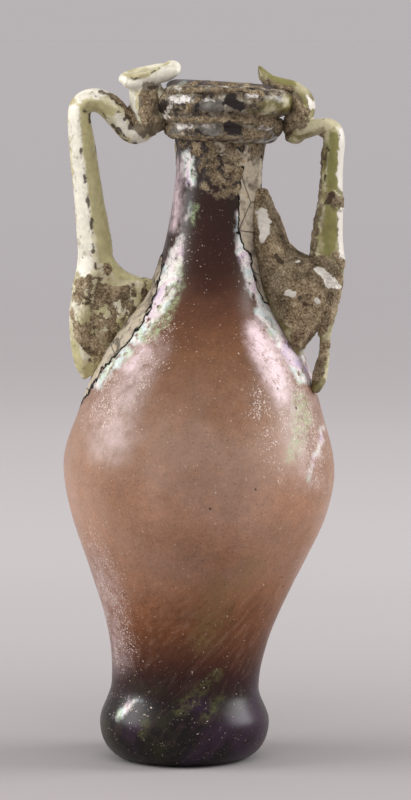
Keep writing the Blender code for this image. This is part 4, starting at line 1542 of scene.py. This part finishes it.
def pad_rows(edge, rows, flask, bite, depth, top, bottom):
    """Level sections of a pad that spreads from the handle's line into the flask's shoulder."""
    sections = []
    for drop, inner_share, outer_share, share in smooth_rows(edge, PAD_SECTIONS):
        height = blend(top, bottom, drop)
        bitten, line = flask_radius(flask, height) - bite, reach_at(rows, height)
        inner, outer = blend(bitten, line, inner_share), blend(bitten, line, outer_share)
        sections.append((inner, outer, height, depth / 2 * share))
    return sections


def melted_handle(context, name, parts, direction, marks, soil_lift):
    """Turns a handle's parts to face their way, melts them together, and leans and marks the piece."""
    turn_about_axis(parts, direction)
    piece = fused(name, parts, context.scene.handle_sizes.grain, 3)
    put_points(piece, leaned(points_of(piece), context.scene.flask_sizes))
    lifted(piece, "drawn waviness", strength=0.00025, size=0.006)
    apply_all(piece)
    marked(piece, marks, context.scene.stage_sizes, soil_lift)
    return piece


class GLASS_OT_left_handle(bpy.types.Operator):
    """Draw the left handle: strap, U, folded thumb rest and fin-like pad in yellow-green glass."""

    bl_idname = "glass_flask.left_handle"
    bl_label = "Left handle"

    def execute(self, context):
        flask, coil = context.scene.flask_sizes, context.scene.coil_sizes
        sizes = context.scene.handle_sizes
        at = Heights(flask)
        rows = handle_rows(
            LEFT_LINE, flask, coil, sizes.left_width, sizes.left_depth, sizes.left_reach,
            at.belly + sizes.left_tip,
        )
        rod = drawn_rod("left rod", round_ends(rows), ROD_SIDES, LEFT_RIDGE)
        pad = stacked_pad("left pad", pad_rows(
            LEFT_PAD, rows, flask, sizes.bite, sizes.left_pad_depth, at.belly + sizes.left_pad_top,
            at.belly + sizes.left_tip,
        ))
        limb = rows[0][0]
        leaf = dish(
            "thumb rest", (limb + LEAF_OUT, 0.0, at.rim + LEAF_UP),
            (sizes.rest_length / 2, sizes.rest_width / 2, sizes.rest_thickness / 2),
            sizes.rest_hollow, -sizes.rest_tilt, sizes.rest_rise,
        )
        parts = [rod, pad, leaf, *lumps(LEFT_LUMPS, limb, at.rim)]
        piece = melted_handle(
            context, "left_handle_glass", parts, sizes.left_turn, LEFT_MARKS, SOIL_LIFT["left handle"]
        )
        material = handle_material(
            "pale yellow green glass",
            ((0.38, tone(184, 174, 130)), (0.50, tone(214, 206, 168)), (0.62, tone(234, 228, 204))),
            (
                # The cream is partly painted light on the strap's outer left edge
                ("cream", tone(242, 237, 220), 0.92, 0.28), ("clear", tone(198, 190, 140), 0.92, 0.2),
                ("brown", tone(104, 92, 74), 0.9, 0.5),
            ),
            (300.0, 0.44),
        )
        place_piece(piece, "left_handle", material)
        return {"FINISHED"}


class GLASS_OT_right_handle(bpy.types.Operator):
    """Draw the right handle: beak, U, strap, soil-covered pad and thin tail in olive glass."""

    bl_idname = "glass_flask.right_handle"
    bl_label = "Right handle"

    def execute(self, context):
        flask, coil = context.scene.flask_sizes, context.scene.coil_sizes
        sizes = context.scene.handle_sizes
        at = Heights(flask)
        rows = handle_rows(
            RIGHT_LINE, flask, coil, sizes.right_width, sizes.right_depth, sizes.right_reach,
            at.belly + sizes.right_tip,
        )
        rod = drawn_rod("right rod", round_ends(rows), ROD_SIDES, RIGHT_RIDGE)
        pad = stacked_pad("right pad", pad_rows(
            RIGHT_PAD, rows, flask, sizes.bite, sizes.right_pad_depth, at.belly + sizes.right_pad_top,
            at.belly + sizes.right_pad_end,
        ))
        limb = rows[RIGHT_LIMB_ROW * ROWS_PER_SPAN][0]
        parts = [rod, pad, *lumps(RIGHT_LUMPS, limb, at.rim)]
        piece = melted_handle(
            context, "right_handle_glass", parts, sizes.right_turn, RIGHT_MARKS, SOIL_LIFT["right handle"]
        )
        material = handle_material(
            "olive green glass",
            ((0.38, tone(112, 102, 62)), (0.50, tone(150, 142, 98)), (0.62, tone(190, 182, 146))),
            (
                ("clear", tone(132, 128, 76), 0.9, 0.22), ("cream", tone(212, 204, 168), 0.85, 0.28),
                # The brightest layer is partly a painted highlight down the strap's right edge
                ("white", tone(232, 226, 214), 0.95, 0.3), ("brown", tone(96, 84, 66), 0.85, 0.5),
            ),
            (420.0, 0.28),
        )
        place_piece(piece, "right_handle", material)
        return {"FINISHED"}


class GLASS_OT_stage(bpy.types.Operator):
    """Set the stage: a pale open floor that fades into the air, soft lamps and the camera."""

    bl_idname = "glass_flask.stage"
    bl_label = "Stage"

    def execute(self, context):
        stage = context.scene.stage_sizes
        only(None)
        bpy.ops.mesh.primitive_plane_add(size=FLOOR_WIDTH)
        floor = bpy.context.object
        floor.name = "floor"
        floor.data.materials.append(floor_material(stage))

        world = bpy.data.worlds.new("studio air")
        context.scene.world = world
        world.use_nodes = True
        world.node_tree.nodes["Background"].inputs["Color"].default_value = (*stage.air_colour, 1.0)

        for name, (place, aim_height, size, power, shows) in LAMPS.items():
            only(None)
            bpy.ops.object.light_add(type="AREA", location=place)
            light = bpy.context.object
            light.name = name
            light.data.shape = "RECTANGLE"
            light.data.size, light.data.size_y = size
            light.data.energy = power
            light.data.spread = LAMP_SPREAD
            light.visible_glossy = shows
            towards = Vector((0.0, 0.0, aim_height)) - Vector(place)
            light.rotation_euler = towards.to_track_quat("-Z", "Y").to_euler()

        aim = Vector((stage.aim_across, 0.0, stage.aim_height))
        place = Vector((stage.aim_across, -stage.camera_distance, stage.camera_height))
        bpy.ops.object.camera_add(location=place)
        camera = bpy.context.object
        camera.name = "camera"
        camera.rotation_euler = (aim - place).to_track_quat("-Z", "Y").to_euler()
        camera.data.sensor_width = 36.0
        view_height = VIEW_HEIGHT * stage.view_step
        camera.data.lens = camera.data.sensor_width * (aim - place).length / view_height
        camera.data.clip_start, camera.data.clip_end = 0.01, 300.0
        context.scene.camera = camera
        context.scene.view_settings.view_transform = "Standard"
        return {"FINISHED"}


class GLASS_PT_panel(bpy.types.Panel):
    """Lists the sizes and the makers of the flask's pieces."""

    bl_idname = "GLASS_PT_panel"
    bl_label = "Glass flask"
    bl_space_type = "VIEW_3D"
    bl_region_type = "UI"
    bl_category = "Glass flask"

    def draw(self, context):
        for operator in OPERATORS:
            self.layout.operator(operator.bl_idname)
        for name, group in SETTINGS.items():
            box = self.layout.box()
            for field in group.__annotations__:
                box.prop(getattr(context.scene, name), field)


SETTINGS = {
    "flask_sizes": FlaskSizes,
    "coil_sizes": CoilSizes,
    "handle_sizes": HandleSizes,
    "stage_sizes": StageSizes,
}
OPERATORS = (GLASS_OT_flask, GLASS_OT_coil, GLASS_OT_left_handle, GLASS_OT_right_handle, GLASS_OT_stage)
CLASSES = (*SETTINGS.values(), *OPERATORS, GLASS_PT_panel)


def register():
    for item in CLASSES:
        bpy.utils.register_class(item)
    for name, group in SETTINGS.items():
        setattr(bpy.types.Scene, name, PointerProperty(type=group))


def unregister():
    for name in SETTINGS:
        delattr(bpy.types.Scene, name)
    for item in reversed(CLASSES):
        bpy.utils.unregister_class(item)


def main():
    register()
    bpy.ops.glass_flask.flask()
    bpy.ops.glass_flask.coil()
    bpy.ops.glass_flask.left_handle()
    bpy.ops.glass_flask.right_handle()
    bpy.ops.glass_flask.stage()


if __name__ == "__main__":
    main()
